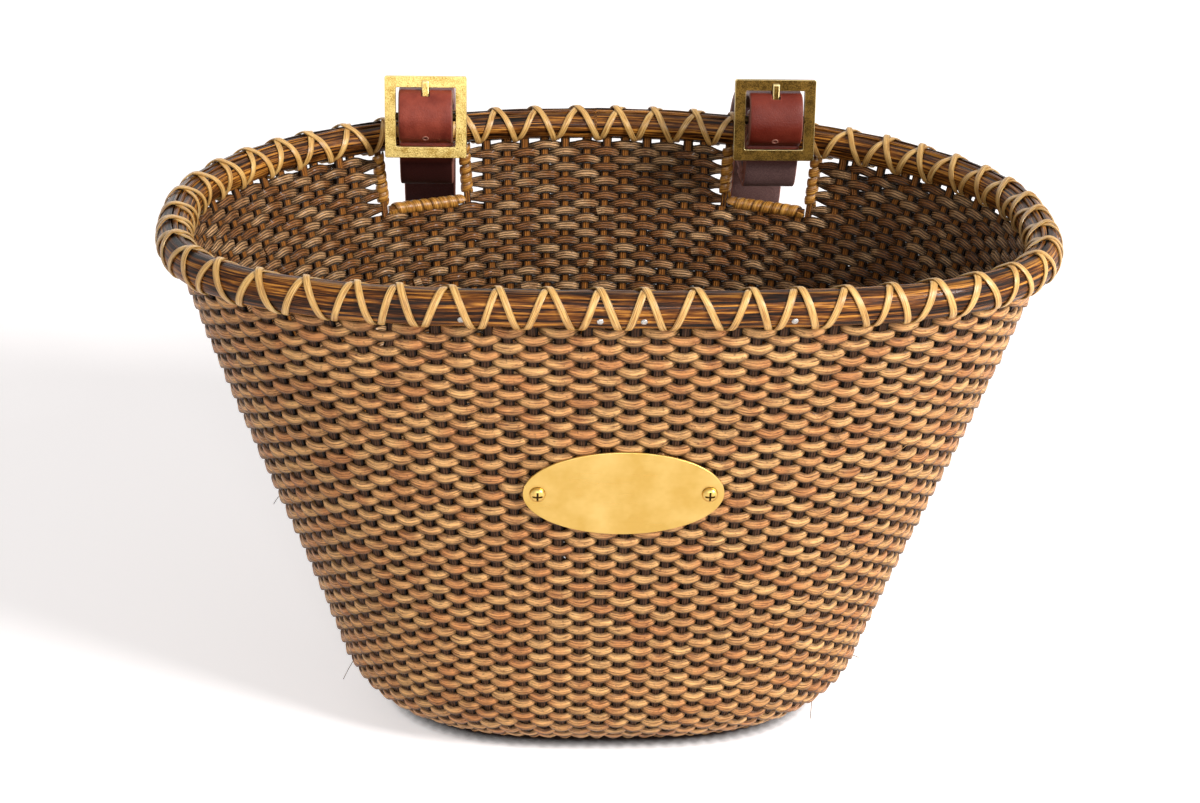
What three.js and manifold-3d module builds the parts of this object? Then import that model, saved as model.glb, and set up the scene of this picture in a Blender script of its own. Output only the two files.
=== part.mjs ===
// Woven bicycle basket with a lashed rim, two buckled leather straps and a brass plate.
// Millimetres, +Z up. The origin is the middle of the flat underside of the base.
// +X is to the right seen from the front, and +Y points back to the handlebar.
import * as THREE from 'three';
import Module from 'manifold-3d';
import { mergeVertices } from 'three/addons/utils/BufferGeometryUtils.js';

const wasm = await Module();
wasm.setup();

// Clearance between pieces that touch on the real basket
const FIT = 0.3;

// Oval of the stake line at the middle of the rim
const RIM_HEIGHT = 225.5;
const RIM_HALF_WIDTH = 183;
const RIM_FRONT_DEPTH = 107.5;
const RIM_BACK_DEPTH = 134;
const RIM_WIDEST_Y = -3;
const RIM_FRONT_SQUARENESS = 3.05;
const RIM_BACK_SQUARENESS = 1.96;

// Oval that the wall would reach at the floor if its foot were not rounded
const FOOT_HALF_WIDTH = 107.5;
const FOOT_FRONT_DEPTH = 82;
const FOOT_BACK_DEPTH = 84.5;
const FOOT_FRONT_SQUARENESS = 2.8;
const FOOT_BACK_SQUARENESS = 2.1;
const FOOT_RADIUS = 26;
const WALL_BELLY = 0.0135;

// Woven wall, foot border and base
const WALL_THICKNESS = 5;
const WEAVE_STAKES = 2;
const WEAVE_ROW = 12;
const WEAVE_RELIEF = 2;
const WALL_FOOT_ANGLE = 30;
const BORDER_THICKNESS = 6.4;
const BORDER_INNER_ANGLE = 4;
const BASE_THICKNESS = 5;
const STAKE_COUNT = 100;
const STAKE_WIDTH = 4;
const STAKE_THICKNESS = 2.4;

// Rim: two half-round hoops with the stake ends and a filler cane between them
const OUTER_HOOP_HEIGHT = 15;
const OUTER_HOOP_THICKNESS = 6;
const INNER_HOOP_HEIGHT = 12;
const INNER_HOOP_THICKNESS = 5;
const FILLER_HEIGHT = 2.8;
const WALL_SLIT = 4.5;

// Cane lashing over the rim
const LASHING_LOOPS = 20;
const LASHING_WIDTH = 2.4;
const LASHING_THICKNESS = 0.9;
const LASHING_SAG = 0.6;
const LASHING_BOTTOM_HOLD = 0.85;
const LASHING_SQUARENESS = 2.4;

// Windows under the rim, counted in stakes from the middle of the back
const WINDOW_STAKES = 8.75;
const WINDOW_REMOVED_STAKES = 3;
const WINDOW_WIDTH = 38;
const WINDOW_HEIGHT = 23.5;
const POST_WIDTH = 3.2;
const POST_THICKNESS = 2.2;
const WRAP_WIDTH = 3.2;
const WRAP_THICKNESS = 0.8;
const WRAP_PITCH = 4;

// Leather straps
const STRAP_WIDTH = 25;
const STRAP_THICKNESS = 2.5;
const STRAP_LAYER_GAP = 0.8;
const STRAP_RIM_ROOM = 2;
const STRAP_INSET = 3.5;
const STRAP_HOLE_RADIUS = 2;
const LOOP_REACH = 57;
const LOOP_DROP = 54;
const TAIL_REACH = 8;
const FOLD_REACH = 20;

// Brass centre-bar buckles
const BUCKLE_SIZE = 38;
const BUCKLE_WINDOW = 27.6;
const BUCKLE_THICKNESS = 3;
const BUCKLE_CORNER = 1;
const BUCKLE_LEAN = 9;
const BUCKLE_RISE = 15;
const BAR_RADIUS = 2;
const BAR_ROCK_ROOM = 1.4;
const PRONG_WIDTH = 3.4;
const PRONG_THICKNESS = 2;
const PRONG_EYE_RADIUS = 4.2;

// Rivet that closes the strap's fold
const RIVET_RADIUS = 1.5;
const RIVET_HEAD_RADIUS = 3.5;
const RIVET_HEAD_HEIGHT = 1;
const RIVET_REACH = 15;

// Brass plate and its fasteners
const PLATE_WIDTH = 82;
const PLATE_HEIGHT = 40;
const PLATE_THICKNESS = 1.2;
const PLATE_X = 3;
const PLATE_Z = 142.4;
const SCREW_SPACING = 70;
const SCREW_RADIUS = 1.5;
const SCREW_HEAD_RADIUS = 3.3;
const SCREW_HEAD_HEIGHT = 2.2;
const WASHER_RADIUS = 4.5;
const WASHER_THICKNESS = 0.8;
const NUT_RADIUS = 3.2;
const NUT_THICKNESS = 2.4;
const SCREW_PROUD = 1.5;

// Facets
const OVAL_STEPS = 56;
const LASHING_STEPS = 8;
const WRAP_STEPS = 8;
const ROUND_STEPS = 10;

// Sizes that follow from the ones above
const MID_FLOOR = BORDER_THICKNESS / 2 + FIT;
const HOOP_FACE = STAKE_THICKNESS / 2 + FIT;
const RIM_TOP = OUTER_HOOP_HEIGHT / 2;
const WALL_TOP = RIM_HEIGHT - RIM_TOP - WALL_SLIT;
const LASHING_FIRST = FIT + LASHING_SAG + LASHING_THICKNESS / 2;
const LASHING_SECOND = LASHING_FIRST + LASHING_THICKNESS + LASHING_SAG;
const LASHING_BUILD = LASHING_SECOND + LASHING_THICKNESS / 2;
const STAKE_TOP = RIM_TOP - FILLER_HEIGHT - 2 * FIT;
const STAKE_BEND_DROP = RIM_TOP + FIT;
const WRAP_RADIUS = (Math.hypot(POST_WIDTH, POST_THICKNESS) / 2 + FIT + WRAP_THICKNESS / 2)
  / Math.cos(Math.PI / WRAP_STEPS);
const WRAP_OUTER = WRAP_RADIUS + WRAP_THICKNESS / 2;
const POST_OFFSET = WINDOW_WIDTH / 2 + WRAP_OUTER;
const SILL_DROP = RIM_TOP + WINDOW_HEIGHT + WRAP_OUTER;
const NOTCH_DROP = SILL_DROP + WRAP_OUTER + FIT;
const NOTCH_HALF_WIDTH = POST_OFFSET + WRAP_OUTER + FIT;

const rad = THREE.MathUtils.degToRad;
const lerp = THREE.MathUtils.lerp;

const CANE = { color: 0x6b4423, roughness: 0.5, metalness: 0 };
const REED = { color: 0xc0935f, roughness: 0.7, metalness: 0 };
const LASH = { color: 0xd0a050, roughness: 0.5, metalness: 0 };
const LEATHER = { color: 0x6e2f27, roughness: 0.6, metalness: 0 };
const BRASS = { color: 0xc9a85a, roughness: 0.35, metalness: 1 };

function named(name, geometry, finish) {
  const mesh = new THREE.Mesh(geometry, new THREE.MeshStandardMaterial(finish));
  mesh.name = name;
  return mesh;
}

// A closed body through rings of equal point counts, with its faces turned outwards
function loft(rings, closed = false) {
  const sides = rings[0].length;
  const faces = [];
  const spans = closed ? rings.length : rings.length - 1;
  for (let i = 0; i < spans; i += 1) {
    const here = i * sides;
    const next = ((i + 1) % rings.length) * sides;
    for (let j = 0; j < sides; j += 1) {
      const k = (j + 1) % sides;
      faces.push(here + j, here + k, next + k, here + j, next + k, next + j);
    }
  }
  const last = (rings.length - 1) * sides;
  for (let j = 1; j < sides - 1 && !closed; j += 1) {
    faces.push(0, j + 1, j, last, last + j, last + j + 1);
  }
  const points = rings.flat();
  let volume = 0;
  for (let i = 0; i < faces.length; i += 3) {
    const [a, b, c] = faces.slice(i, i + 3).map((index) => points[index]);
    volume += a.dot(b.clone().cross(c));
  }
  if (volume < 0) faces.reverse();
  const geometry = new THREE.BufferGeometry().setFromPoints(points);
  geometry.setIndex(faces);
  return geometry;
}

function toSolid(geometry) {
  const bare = geometry.clone();
  bare.deleteAttribute('normal');
  bare.deleteAttribute('uv');
  const merged = mergeVertices(bare, 1e-4);
  return new wasm.Manifold(new wasm.Mesh({
    numProp: 3,
    vertProperties: Float32Array.from(merged.attributes.position.array),
    triVerts: Uint32Array.from(merged.index.array),
  }));
}

function toGeometry(solid) {
  const mesh = solid.getMesh();
  const geometry = new THREE.BufferGeometry();
  geometry.setAttribute('position', new THREE.BufferAttribute(mesh.vertProperties, 3));
  geometry.setIndex(new THREE.BufferAttribute(mesh.triVerts, 1));
  return geometry;
}

function placed(geometry, matrix) {
  return geometry.clone().applyMatrix4(matrix);
}

function cut(geometry, cutters) {
  const solids = cutters.map(toSolid);
  return toGeometry(solids.reduce((left, solid) => left.subtract(solid), toSolid(geometry)));
}

function fuse(geometries) {
  return toGeometry(geometries.map(toSolid).reduce((all, solid) => all.add(solid)));
}

// A profile of radius and height turned about +Z
function turned(profile) {
  return toGeometry(toSolid(new THREE.LatheGeometry(profile, ROUND_STEPS).rotateX(Math.PI / 2)));
}

// An outline in the plane of depth and height, drawn out sideways about its middle.
// The outline's x becomes +Y (depth), its y becomes +Z and the draw runs along +X.
function drawnSideways(shape, width, curveSegments = 6) {
  const geometry = new THREE.ExtrudeGeometry(shape, { depth: width, bevelEnabled: false, curveSegments });
  geometry.translate(0, 0, -width / 2);
  const turn = new THREE.Matrix4().makeBasis(
    new THREE.Vector3(0, 1, 0),
    new THREE.Vector3(0, 0, 1),
    new THREE.Vector3(1, 0, 0),
  );
  return geometry.applyMatrix4(turn);
}

// Wall surface. A level is a place on the profile from the foot to the rim: how far the oval
// has opened, how much the rounded foot draws it in, its height, and the outward direction.
function levelAt(height) {
  const share = height / RIM_HEIGHT;
  const opened = share - WALL_BELLY * Math.sin(2 * Math.PI * share);
  const rise = 1 / RIM_HEIGHT - (WALL_BELLY * 2 * Math.PI / RIM_HEIGHT) * Math.cos(2 * Math.PI * share);
  const slope = Math.atan((RIM_HALF_WIDTH - FOOT_HALF_WIDTH) * rise);
  return { opened, inset: 0, height, out: Math.cos(slope), up: -Math.sin(slope) };
}

function footLevelAt(degrees) {
  const angle = rad(degrees);
  const height = MID_FLOOR + FOOT_RADIUS * (1 - Math.cos(angle));
  const level = levelAt(height);
  level.inset = FOOT_RADIUS * (1 - Math.sin(angle));
  level.out = Math.sin(angle);
  level.up = -Math.cos(angle);
  return level;
}

function power(value, exponent) {
  return Math.sign(value) * Math.abs(value) ** exponent;
}

function ovalAt(level, offset) {
  const grown = level.out * offset - level.inset;
  return {
    halfWidth: lerp(FOOT_HALF_WIDTH, RIM_HALF_WIDTH, level.opened) + grown,
    front: lerp(FOOT_FRONT_DEPTH, RIM_FRONT_DEPTH, level.opened) + grown,
    back: lerp(FOOT_BACK_DEPTH, RIM_BACK_DEPTH, level.opened) + grown,
    frontPower: lerp(FOOT_FRONT_SQUARENESS, RIM_FRONT_SQUARENESS, level.opened),
    backPower: lerp(FOOT_BACK_SQUARENESS, RIM_BACK_SQUARENESS, level.opened),
    middle: RIM_WIDEST_Y * level.opened,
  };
}

// Point of the wall at a share of the way round, from the middle of the back towards +X
function wallPoint(share, level, offset) {
  const angle = Math.PI / 2 - share * 2 * Math.PI;
  const oval = ovalAt(level, offset);
  const isFront = Math.sin(angle) < 0;
  const exponent = 2 / (isFront ? oval.frontPower : oval.backPower);
  const depth = isFront ? oval.front : oval.back;
  return new THREE.Vector3(
    oval.halfWidth * power(Math.cos(angle), exponent),
    oval.middle + depth * power(Math.sin(angle), exponent),
    level.height + level.up * offset,
  );
}

function ringOfSections(sectionOf) {
  const rings = [];
  for (let i = 0; i < OVAL_STEPS; i += 1) rings.push(sectionOf(i / OVAL_STEPS));
  return loft(rings, true);
}

function bandBetween(levels, thickness) {
  return ringOfSections((share) => [
    ...levels.map((level) => wallPoint(share, level, thickness / 2)),
    ...levels.map((level) => wallPoint(share, level, -thickness / 2)).reverse(),
  ]);
}

// Rim line, and a place on it counted in stake pitches from the middle of the back
const rimLevel = { opened: 1, inset: 0, height: RIM_HEIGHT, out: 1, up: 0 };
const rimPoints = [];
const RIM_CURVE_POINTS = 180;
for (let i = 0; i < RIM_CURVE_POINTS; i += 1) {
  rimPoints.push(wallPoint(i / RIM_CURVE_POINTS, rimLevel, 0));
}
const rimLine = new THREE.CatmullRomCurve3(rimPoints, true);
rimLine.arcLengthDivisions = 8 * RIM_CURVE_POINTS;
const STAKE_PITCH = rimLine.getLength() / STAKE_COUNT;

function rimPlace(stakes) {
  const share = THREE.MathUtils.euclideanModulo(stakes / STAKE_COUNT, 1);
  const point = rimLine.getPointAt(share);
  const tangent = rimLine.getTangentAt(share);
  return { point, tangent, out: new THREE.Vector3(-tangent.y, tangent.x, 0) };
}

function rimMatrix(stakes) {
  const { point, tangent, out } = rimPlace(stakes);
  return new THREE.Matrix4().makeBasis(tangent, out, new THREE.Vector3(0, 0, 1)).setPosition(point);
}

function rimGroup(stakes) {
  const group = new THREE.Group();
  rimMatrix(stakes).decompose(group.position, group.quaternion, group.scale);
  return group;
}

// Depth of the wall's middle surface below a place on the rim, along its outward direction
function wallDepth(stakes, drop) {
  const { point, out } = rimPlace(stakes);
  const oval = ovalAt(levelAt(RIM_HEIGHT - drop), 0);
  const isOutside = (depth) => {
    const x = point.x + out.x * depth;
    const y = point.y + out.y * depth - oval.middle;
    const reach = y < 0 ? oval.front : oval.back;
    const exponent = y < 0 ? oval.frontPower : oval.backPower;
    return Math.abs(x / oval.halfWidth) ** exponent + Math.abs(y / reach) ** exponent > 1;
  };
  let inside = -RIM_BACK_DEPTH / 2;
  let outside = RIM_BACK_DEPTH / 2;
  while (outside - inside > FIT / 100) {
    const middle = (inside + outside) / 2;
    if (isOutside(middle)) outside = middle;
    else inside = middle;
  }
  return inside;
}

// Base, foot border and wall
function wovenBase() {
  const edge = footLevelAt(BORDER_INNER_ANGLE);
  edge.inset += FIT;
  const outline = [];
  for (let i = 0; i < OVAL_STEPS; i += 1) {
    const point = wallPoint(i / OVAL_STEPS, edge, 0);
    outline.push(new THREE.Vector2(point.x, point.y));
  }
  return new THREE.ExtrudeGeometry(new THREE.Shape(outline), {
    depth: BASE_THICKNESS, bevelEnabled: false,
  });
}

function footBorder() {
  const outerAngle = WALL_FOOT_ANGLE - THREE.MathUtils.radToDeg(FIT / FOOT_RADIUS);
  const angles = [BORDER_INNER_ANGLE, (BORDER_INNER_ANGLE + outerAngle) / 2, outerAngle];
  return bandBetween(angles.map(footLevelAt), BORDER_THICKNESS);
}

function wallLevels() {
  const footAngles = [WALL_FOOT_ANGLE, (WALL_FOOT_ANGLE + 90) / 2, 90];
  const straightStart = MID_FLOOR + FOOT_RADIUS;
  const straightRows = Math.round((WALL_TOP - straightStart) / WEAVE_ROW);
  const levels = footAngles.map(footLevelAt);
  for (let i = 1; i <= straightRows; i += 1) {
    levels.push(levelAt(lerp(straightStart, WALL_TOP, i / straightRows)));
  }
  return levels;
}

function stakesFromWindow(stakes) {
  return Math.abs(Math.min(stakes, STAKE_COUNT - stakes) - WINDOW_STAKES);
}

function isWindowStake(stake) {
  return stakesFromWindow(stake) < WINDOW_REMOVED_STAKES;
}

// Where the wall stays smooth: along a window's edge and behind the plate
function isSmooth(stakes, point) {
  const byWindow = stakesFromWindow(stakes) < WINDOW_REMOVED_STAKES + WEAVE_STAKES
    && point.z > RIM_HEIGHT - NOTCH_DROP - WEAVE_ROW;
  const across = (point.x - PLATE_X) / (PLATE_WIDTH / 2 + WEAVE_ROW);
  const up = (point.z - PLATE_Z) / (PLATE_HEIGHT / 2 + WEAVE_ROW);
  return byWindow || (point.y < 0 && Math.hypot(across, up) < 1);
}

// The weave at more than twice its scale: a row passes outside a pair of stakes and inside the
// next pair, and the row above it goes the other way round
function wovenBand(levels) {
  const half = WALL_THICKNESS / 2;
  const rings = [];
  for (let column = 0; column < STAKE_COUNT / WEAVE_STAKES; column += 1) {
    const stakes = column * WEAVE_STAKES;
    const share = rimLine.getUtoTmapping(stakes / STAKE_COUNT);
    const outer = [];
    const inner = [];
    levels.forEach((level, row) => {
      const isEdge = row === 0 || row === levels.length - 1;
      const relief = isEdge || isSmooth(stakes, wallPoint(share, level, half)) ? 0 : WEAVE_RELIEF;
      const isOutside = (column + row) % 2 === 0;
      outer.push(wallPoint(share, level, isOutside ? half : half - relief));
      inner.unshift(wallPoint(share, level, isOutside ? relief - half : -half));
    });
    rings.push([...outer, ...inner]);
  }
  return loft(rings, true);
}

// A stake that leans with the wall from its foot and stands upright between the hoops
function stakeShape(footDrop, footDepth, thickness) {
  const half = thickness / 2;
  return new THREE.Shape([
    new THREE.Vector2(footDepth - half, -footDrop),
    new THREE.Vector2(footDepth + half, -footDrop),
    new THREE.Vector2(half, -STAKE_BEND_DROP),
    new THREE.Vector2(half, STAKE_TOP),
    new THREE.Vector2(-half, STAKE_TOP),
    new THREE.Vector2(-half, -STAKE_BEND_DROP),
  ]);
}

function stakeEnds() {
  const footDrop = RIM_HEIGHT - WALL_TOP + WALL_THICKNESS / 2;
  const ends = [];
  for (let i = 0; i < STAKE_COUNT; i += 1) {
    const stake = i + 0.5;
    if (!isWindowStake(stake)) {
      const shape = stakeShape(footDrop, wallDepth(stake, footDrop), STAKE_THICKNESS);
      ends.push(placed(drawnSideways(shape, STAKE_WIDTH), rimMatrix(stake)));
    }
  }
  return ends;
}

function windowCutter(stakes) {
  const cutterDepth = 4 * WALL_THICKNESS + NOTCH_DROP;
  const cutter = new THREE.BoxGeometry(2 * NOTCH_HALF_WIDTH, cutterDepth, NOTCH_DROP);
  return placed(cutter.translate(0, 0, -NOTCH_DROP / 2), rimMatrix(stakes));
}

// Plate frame: its local +Z points out of the front wall, local +X runs along the wall
const plateLevel = levelAt(PLATE_Z);
function frontPoint(x) {
  const oval = ovalAt(plateLevel, 0);
  const share = 1 - (Math.abs(x) / oval.halfWidth) ** oval.frontPower;
  return new THREE.Vector3(x, oval.middle - oval.front * share ** (1 / oval.frontPower), PLATE_Z);
}

function plateMatrix() {
  const rightScrew = frontPoint(PLATE_X + SCREW_SPACING / 2);
  const leftScrew = frontPoint(PLATE_X - SCREW_SPACING / 2);
  const along = rightScrew.sub(leftScrew).normalize();
  const above = levelAt(PLATE_Z + PLATE_HEIGHT / 2);
  const below = levelAt(PLATE_Z - PLATE_HEIGHT / 2);
  const frontAt = (level) => ovalAt(level, 0).front - ovalAt(level, 0).middle;
  const upwards = new THREE.Vector3(0, frontAt(below) - frontAt(above), PLATE_HEIGHT).normalize();
  const out = along.clone().cross(upwards).normalize();
  const up = out.clone().cross(along);
  return new THREE.Matrix4().makeBasis(along, up, out).setPosition(frontPoint(PLATE_X));
}

const WALL_FACE = WALL_THICKNESS / 2 + FIT;
const SCREW_SIDES = [['left', -1], ['right', 1]];

function rod(radius, from, to) {
  const geometry = new THREE.CylinderGeometry(radius, radius, to - from, ROUND_STEPS);
  return geometry.rotateX(Math.PI / 2).translate(0, 0, (from + to) / 2);
}

function screwHoles() {
  return SCREW_SIDES.map(([, side]) => {
    const hole = rod(SCREW_RADIUS + FIT, -2 * WALL_THICKNESS, 2 * WALL_THICKNESS);
    return placed(hole.translate(side * SCREW_SPACING / 2, 0, 0), plateMatrix());
  });
}

function wovenWall() {
  const openings = [-WINDOW_STAKES, WINDOW_STAKES].map(windowCutter);
  const wall = cut(wovenBand(wallLevels()), [...openings, ...screwHoles()]);
  return fuse([wall, ...stakeEnds()]);
}

// Rim hoops and filler, with a station at every stake
function alongRim(section) {
  const rings = [];
  for (let i = 0; i < STAKE_COUNT; i += 1) {
    const matrix = rimMatrix(i + 0.5);
    rings.push(section.map(([out, up]) => new THREE.Vector3(0, out, up).applyMatrix4(matrix)));
  }
  return loft(rings, true);
}

function halfRound(side, thickness, height) {
  const section = [];
  const arcSteps = 5;
  for (let i = 0; i <= arcSteps; i += 1) {
    const angle = Math.PI * (i / arcSteps - 0.5);
    section.push([side * (HOOP_FACE + thickness * Math.cos(angle)), height / 2 * Math.sin(angle)]);
  }
  return section;
}

function fillerSection() {
  const half = STAKE_THICKNESS / 2;
  const low = STAKE_TOP + FIT;
  return [[-half, low], [half, low], [half, low + FILLER_HEIGHT], [-half, low + FILLER_HEIGHT]];
}

// A flat strip wound as one open tube along a route of places, each with its outward direction
function strip(route, width, thickness) {
  const rings = route.map(({ point, out }, i) => {
    const before = route[Math.max(i - 1, 0)].point;
    const after = route[Math.min(i + 1, route.length - 1)].point;
    const across = after.clone().sub(before).cross(out).normalize();
    return [[-1, -1], [1, -1], [1, 1], [-1, 1]].map(([a, b]) => point.clone()
      .addScaledVector(across, a * width / 2)
      .addScaledVector(out, b * thickness / 2));
  });
  return loft(rings);
}

// Least distance between turns of a winding, measured on its points, less the strip's own width
function printSelfGap(name, route, stepsPerLoop, width) {
  let least = Infinity;
  for (let i = 0; i < route.length; i += 1) {
    for (let j = i + Math.ceil(stepsPerLoop / 2); j < route.length; j += 1) {
      least = Math.min(least, route[i].point.distanceTo(route[j].point));
    }
  }
  console.log(`${name}: least gap to itself ${(least - width).toFixed(2)} mm`);
}

const RIM_MIDDLE = (OUTER_HOOP_THICKNESS - INNER_HOOP_THICKNESS) / 2;
const RIM_HALF_THICKNESS = HOOP_FACE + (OUTER_HOOP_THICKNESS + INNER_HOOP_THICKNESS) / 2;

// A lashing goes over the rim between two stakes, holds straight as it passes under, and goes on
function lashingRoute(hand, build) {
  const stakesPerLoop = STAKE_COUNT / LASHING_LOOPS;
  const firstApex = stakesPerLoop / 2;
  const route = [];
  for (let i = 1; i < LASHING_LOOPS * LASHING_STEPS; i += 1) {
    const turn = 2 * Math.PI * i / LASHING_STEPS;
    const loops = (turn + LASHING_BOTTOM_HOLD * Math.sin(turn)) / (2 * Math.PI);
    const matrix = rimMatrix(firstApex + hand * stakesPerLoop * loops);
    const sideways = power(Math.sin(turn), 2 / LASHING_SQUARENESS);
    const upwards = power(Math.cos(turn), 2 / LASHING_SQUARENESS);
    const point = new THREE.Vector3(
      0,
      RIM_MIDDLE + (RIM_HALF_THICKNESS + build) * sideways,
      (RIM_TOP + build) * upwards,
    );
    const out = new THREE.Vector3(0, sideways, upwards).normalize();
    route.push({ point: point.applyMatrix4(matrix), out: out.transformDirection(matrix) });
  }
  return route;
}

function lashing(name, hand, build) {
  const route = lashingRoute(hand, build);
  printSelfGap(name, route, LASHING_STEPS, LASHING_WIDTH);
  return named(name, strip(route, LASHING_WIDTH, LASHING_THICKNESS), LASH);
}

// Wrapping round a straight core that runs along local Z of the given matrix
function wrapping(name, from, to, matrix) {
  const loops = Math.floor((to - from - WRAP_WIDTH) / WRAP_PITCH);
  const start = (from + to - loops * WRAP_PITCH) / 2;
  const route = [];
  for (let i = 0; i <= loops * WRAP_STEPS; i += 1) {
    const turn = 2 * Math.PI * i / WRAP_STEPS;
    const out = new THREE.Vector3(Math.cos(turn), Math.sin(turn), 0);
    const point = out.clone().multiplyScalar(WRAP_RADIUS);
    point.z = start + WRAP_PITCH * i / WRAP_STEPS;
    route.push({ point: point.applyMatrix4(matrix), out: out.transformDirection(matrix) });
  }
  printSelfGap(name, route, WRAP_STEPS, WRAP_WIDTH);
  return named(name, strip(route, WRAP_WIDTH, WRAP_THICKNESS), LASH);
}

function windowFrame(sideName, stakes) {
  const pieces = new THREE.Group();
  const footDrop = NOTCH_DROP - FIT;
  [['inner', -Math.sign(stakes)], ['outer', Math.sign(stakes)]].forEach(([place, side]) => {
    const postStakes = stakes + side * POST_OFFSET / STAKE_PITCH;
    const footDepth = wallDepth(postStakes, footDrop);
    const group = rimGroup(postStakes);
    const post = drawnSideways(stakeShape(footDrop, footDepth, POST_THICKNESS), POST_WIDTH);
    group.add(named(`window_${sideName}_${place}_post`, post, CANE));
    const lean = Math.atan2(-footDepth, footDrop - STAKE_BEND_DROP);
    const core = new THREE.Matrix4().makeRotationX(-lean).setPosition(0, 0, -STAKE_BEND_DROP);
    const wrapFoot = -(SILL_DROP - WRAP_OUTER - FIT - STAKE_BEND_DROP) / Math.cos(lean);
    const wrapHead = -(WALL_SLIT - FIT) / Math.cos(lean);
    group.add(wrapping(`window_${sideName}_${place}_post_wrap`, wrapFoot, wrapHead, core));
    pieces.add(group);
  });

  // The sill lies between the feet of the two posts, seen from the middle of the window
  const postStakes = stakes + POST_OFFSET / STAKE_PITCH;
  const postFoot = new THREE.Vector3(0, wallDepth(postStakes, SILL_DROP), -SILL_DROP)
    .applyMatrix4(rimMatrix(postStakes))
    .applyMatrix4(rimMatrix(stakes).invert());
  const group = rimGroup(stakes);
  const depth = (wallDepth(stakes, SILL_DROP) + postFoot.y) / 2;
  const halfLength = Math.abs(postFoot.x) - POST_WIDTH / 2 - 2 * FIT;
  const sill = new THREE.BoxGeometry(2 * halfLength, POST_THICKNESS, POST_WIDTH);
  group.add(named(`window_${sideName}_sill`, sill.translate(0, depth, -SILL_DROP), CANE));
  const core = new THREE.Matrix4().makeRotationY(Math.PI / 2).setPosition(0, depth, -SILL_DROP);
  group.add(wrapping(`window_${sideName}_sill_wrap`, -halfLength, halfLength, core));
  pieces.add(group);
  return pieces;
}

// Strap and buckle are drawn in the plane of depth (towards the handlebar) and height above the
// rim's middle. The buckle has a leaning frame of its own: forward (into the basket) and up.
const LEAN = rad(BUCKLE_LEAN);
const STRAP_STEP = STRAP_THICKNESS + STRAP_LAYER_GAP;
const FOLD_RADIUS = BAR_RADIUS + FIT + STRAP_THICKNESS / 2;
const OUTER_BAR_UP = (BUCKLE_SIZE + BUCKLE_WINDOW) / 4;
const BAR_EDGE_UP = BUCKLE_WINDOW / 2;
const BAR_CLEAR = BAR_ROCK_ROOM + STRAP_THICKNESS / 2;
const BEHIND_BAR = -BUCKLE_THICKNESS / 2 - BAR_CLEAR;
const BULGE = FOLD_RADIUS + STRAP_STEP + STRAP_LAYER_GAP;
const UNDER_BAR = STRAP_THICKNESS / 2 + STRAP_LAYER_GAP;
const UNDER_RIM = -(RIM_TOP + LASHING_BUILD + STRAP_RIM_ROOM + STRAP_THICKNESS / 2);
const OVER_RIM = -UNDER_RIM;

// The straps run straight back to the handlebar, so the rim crosses them askew
const crossing = rimPlace(WINDOW_STAKES).tangent;
const RIM_SKEW = Math.abs(crossing.y / crossing.x);

// The two layers of the fold lie between the centre bar and the lashed rim
const FOLD_DEPTH = BUCKLE_THICKNESS / 2 + 0.6 * BAR_CLEAR + 1.7 * STRAP_STEP + STRAP_THICKNESS / 2;
const BUCKLE_SETBACK = RIM_HALF_THICKNESS - RIM_MIDDLE + LASHING_BUILD + STRAP_RIM_ROOM
  + RIM_SKEW * STRAP_WIDTH / 2 + FOLD_DEPTH * Math.cos(LEAN) - 0.6 * BAR_EDGE_UP * Math.sin(LEAN);

function atBuckle(forward, up) {
  return new THREE.Vector2(
    -BUCKLE_SETBACK - forward * Math.cos(LEAN) + up * Math.sin(LEAN),
    BUCKLE_RISE + forward * Math.sin(LEAN) + up * Math.cos(LEAN),
  );
}

// Half of the strap's swell inside the buckle, from the centre bar to behind an outer bar.
// A layer is how many thicknesses the strand lies behind the one that shows.
function swell(layer) {
  const back = layer * STRAP_STEP;
  return [
    [BULGE - back, BAR_EDGE_UP * 0.22],
    [BULGE * 0.6 - back * 0.5, BAR_EDGE_UP * 0.61 - back * 0.86],
    [-back * 0.6, BAR_EDGE_UP * 0.78 - back * 0.8],
    [-BUCKLE_THICKNESS / 2 - BAR_CLEAR * 0.6 - back * 0.85, BAR_EDGE_UP - BAR_CLEAR * 0.8 - back * 0.5],
    [BEHIND_BAR - back, OUTER_BAR_UP - back * 0.2],
  ];
}

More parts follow.
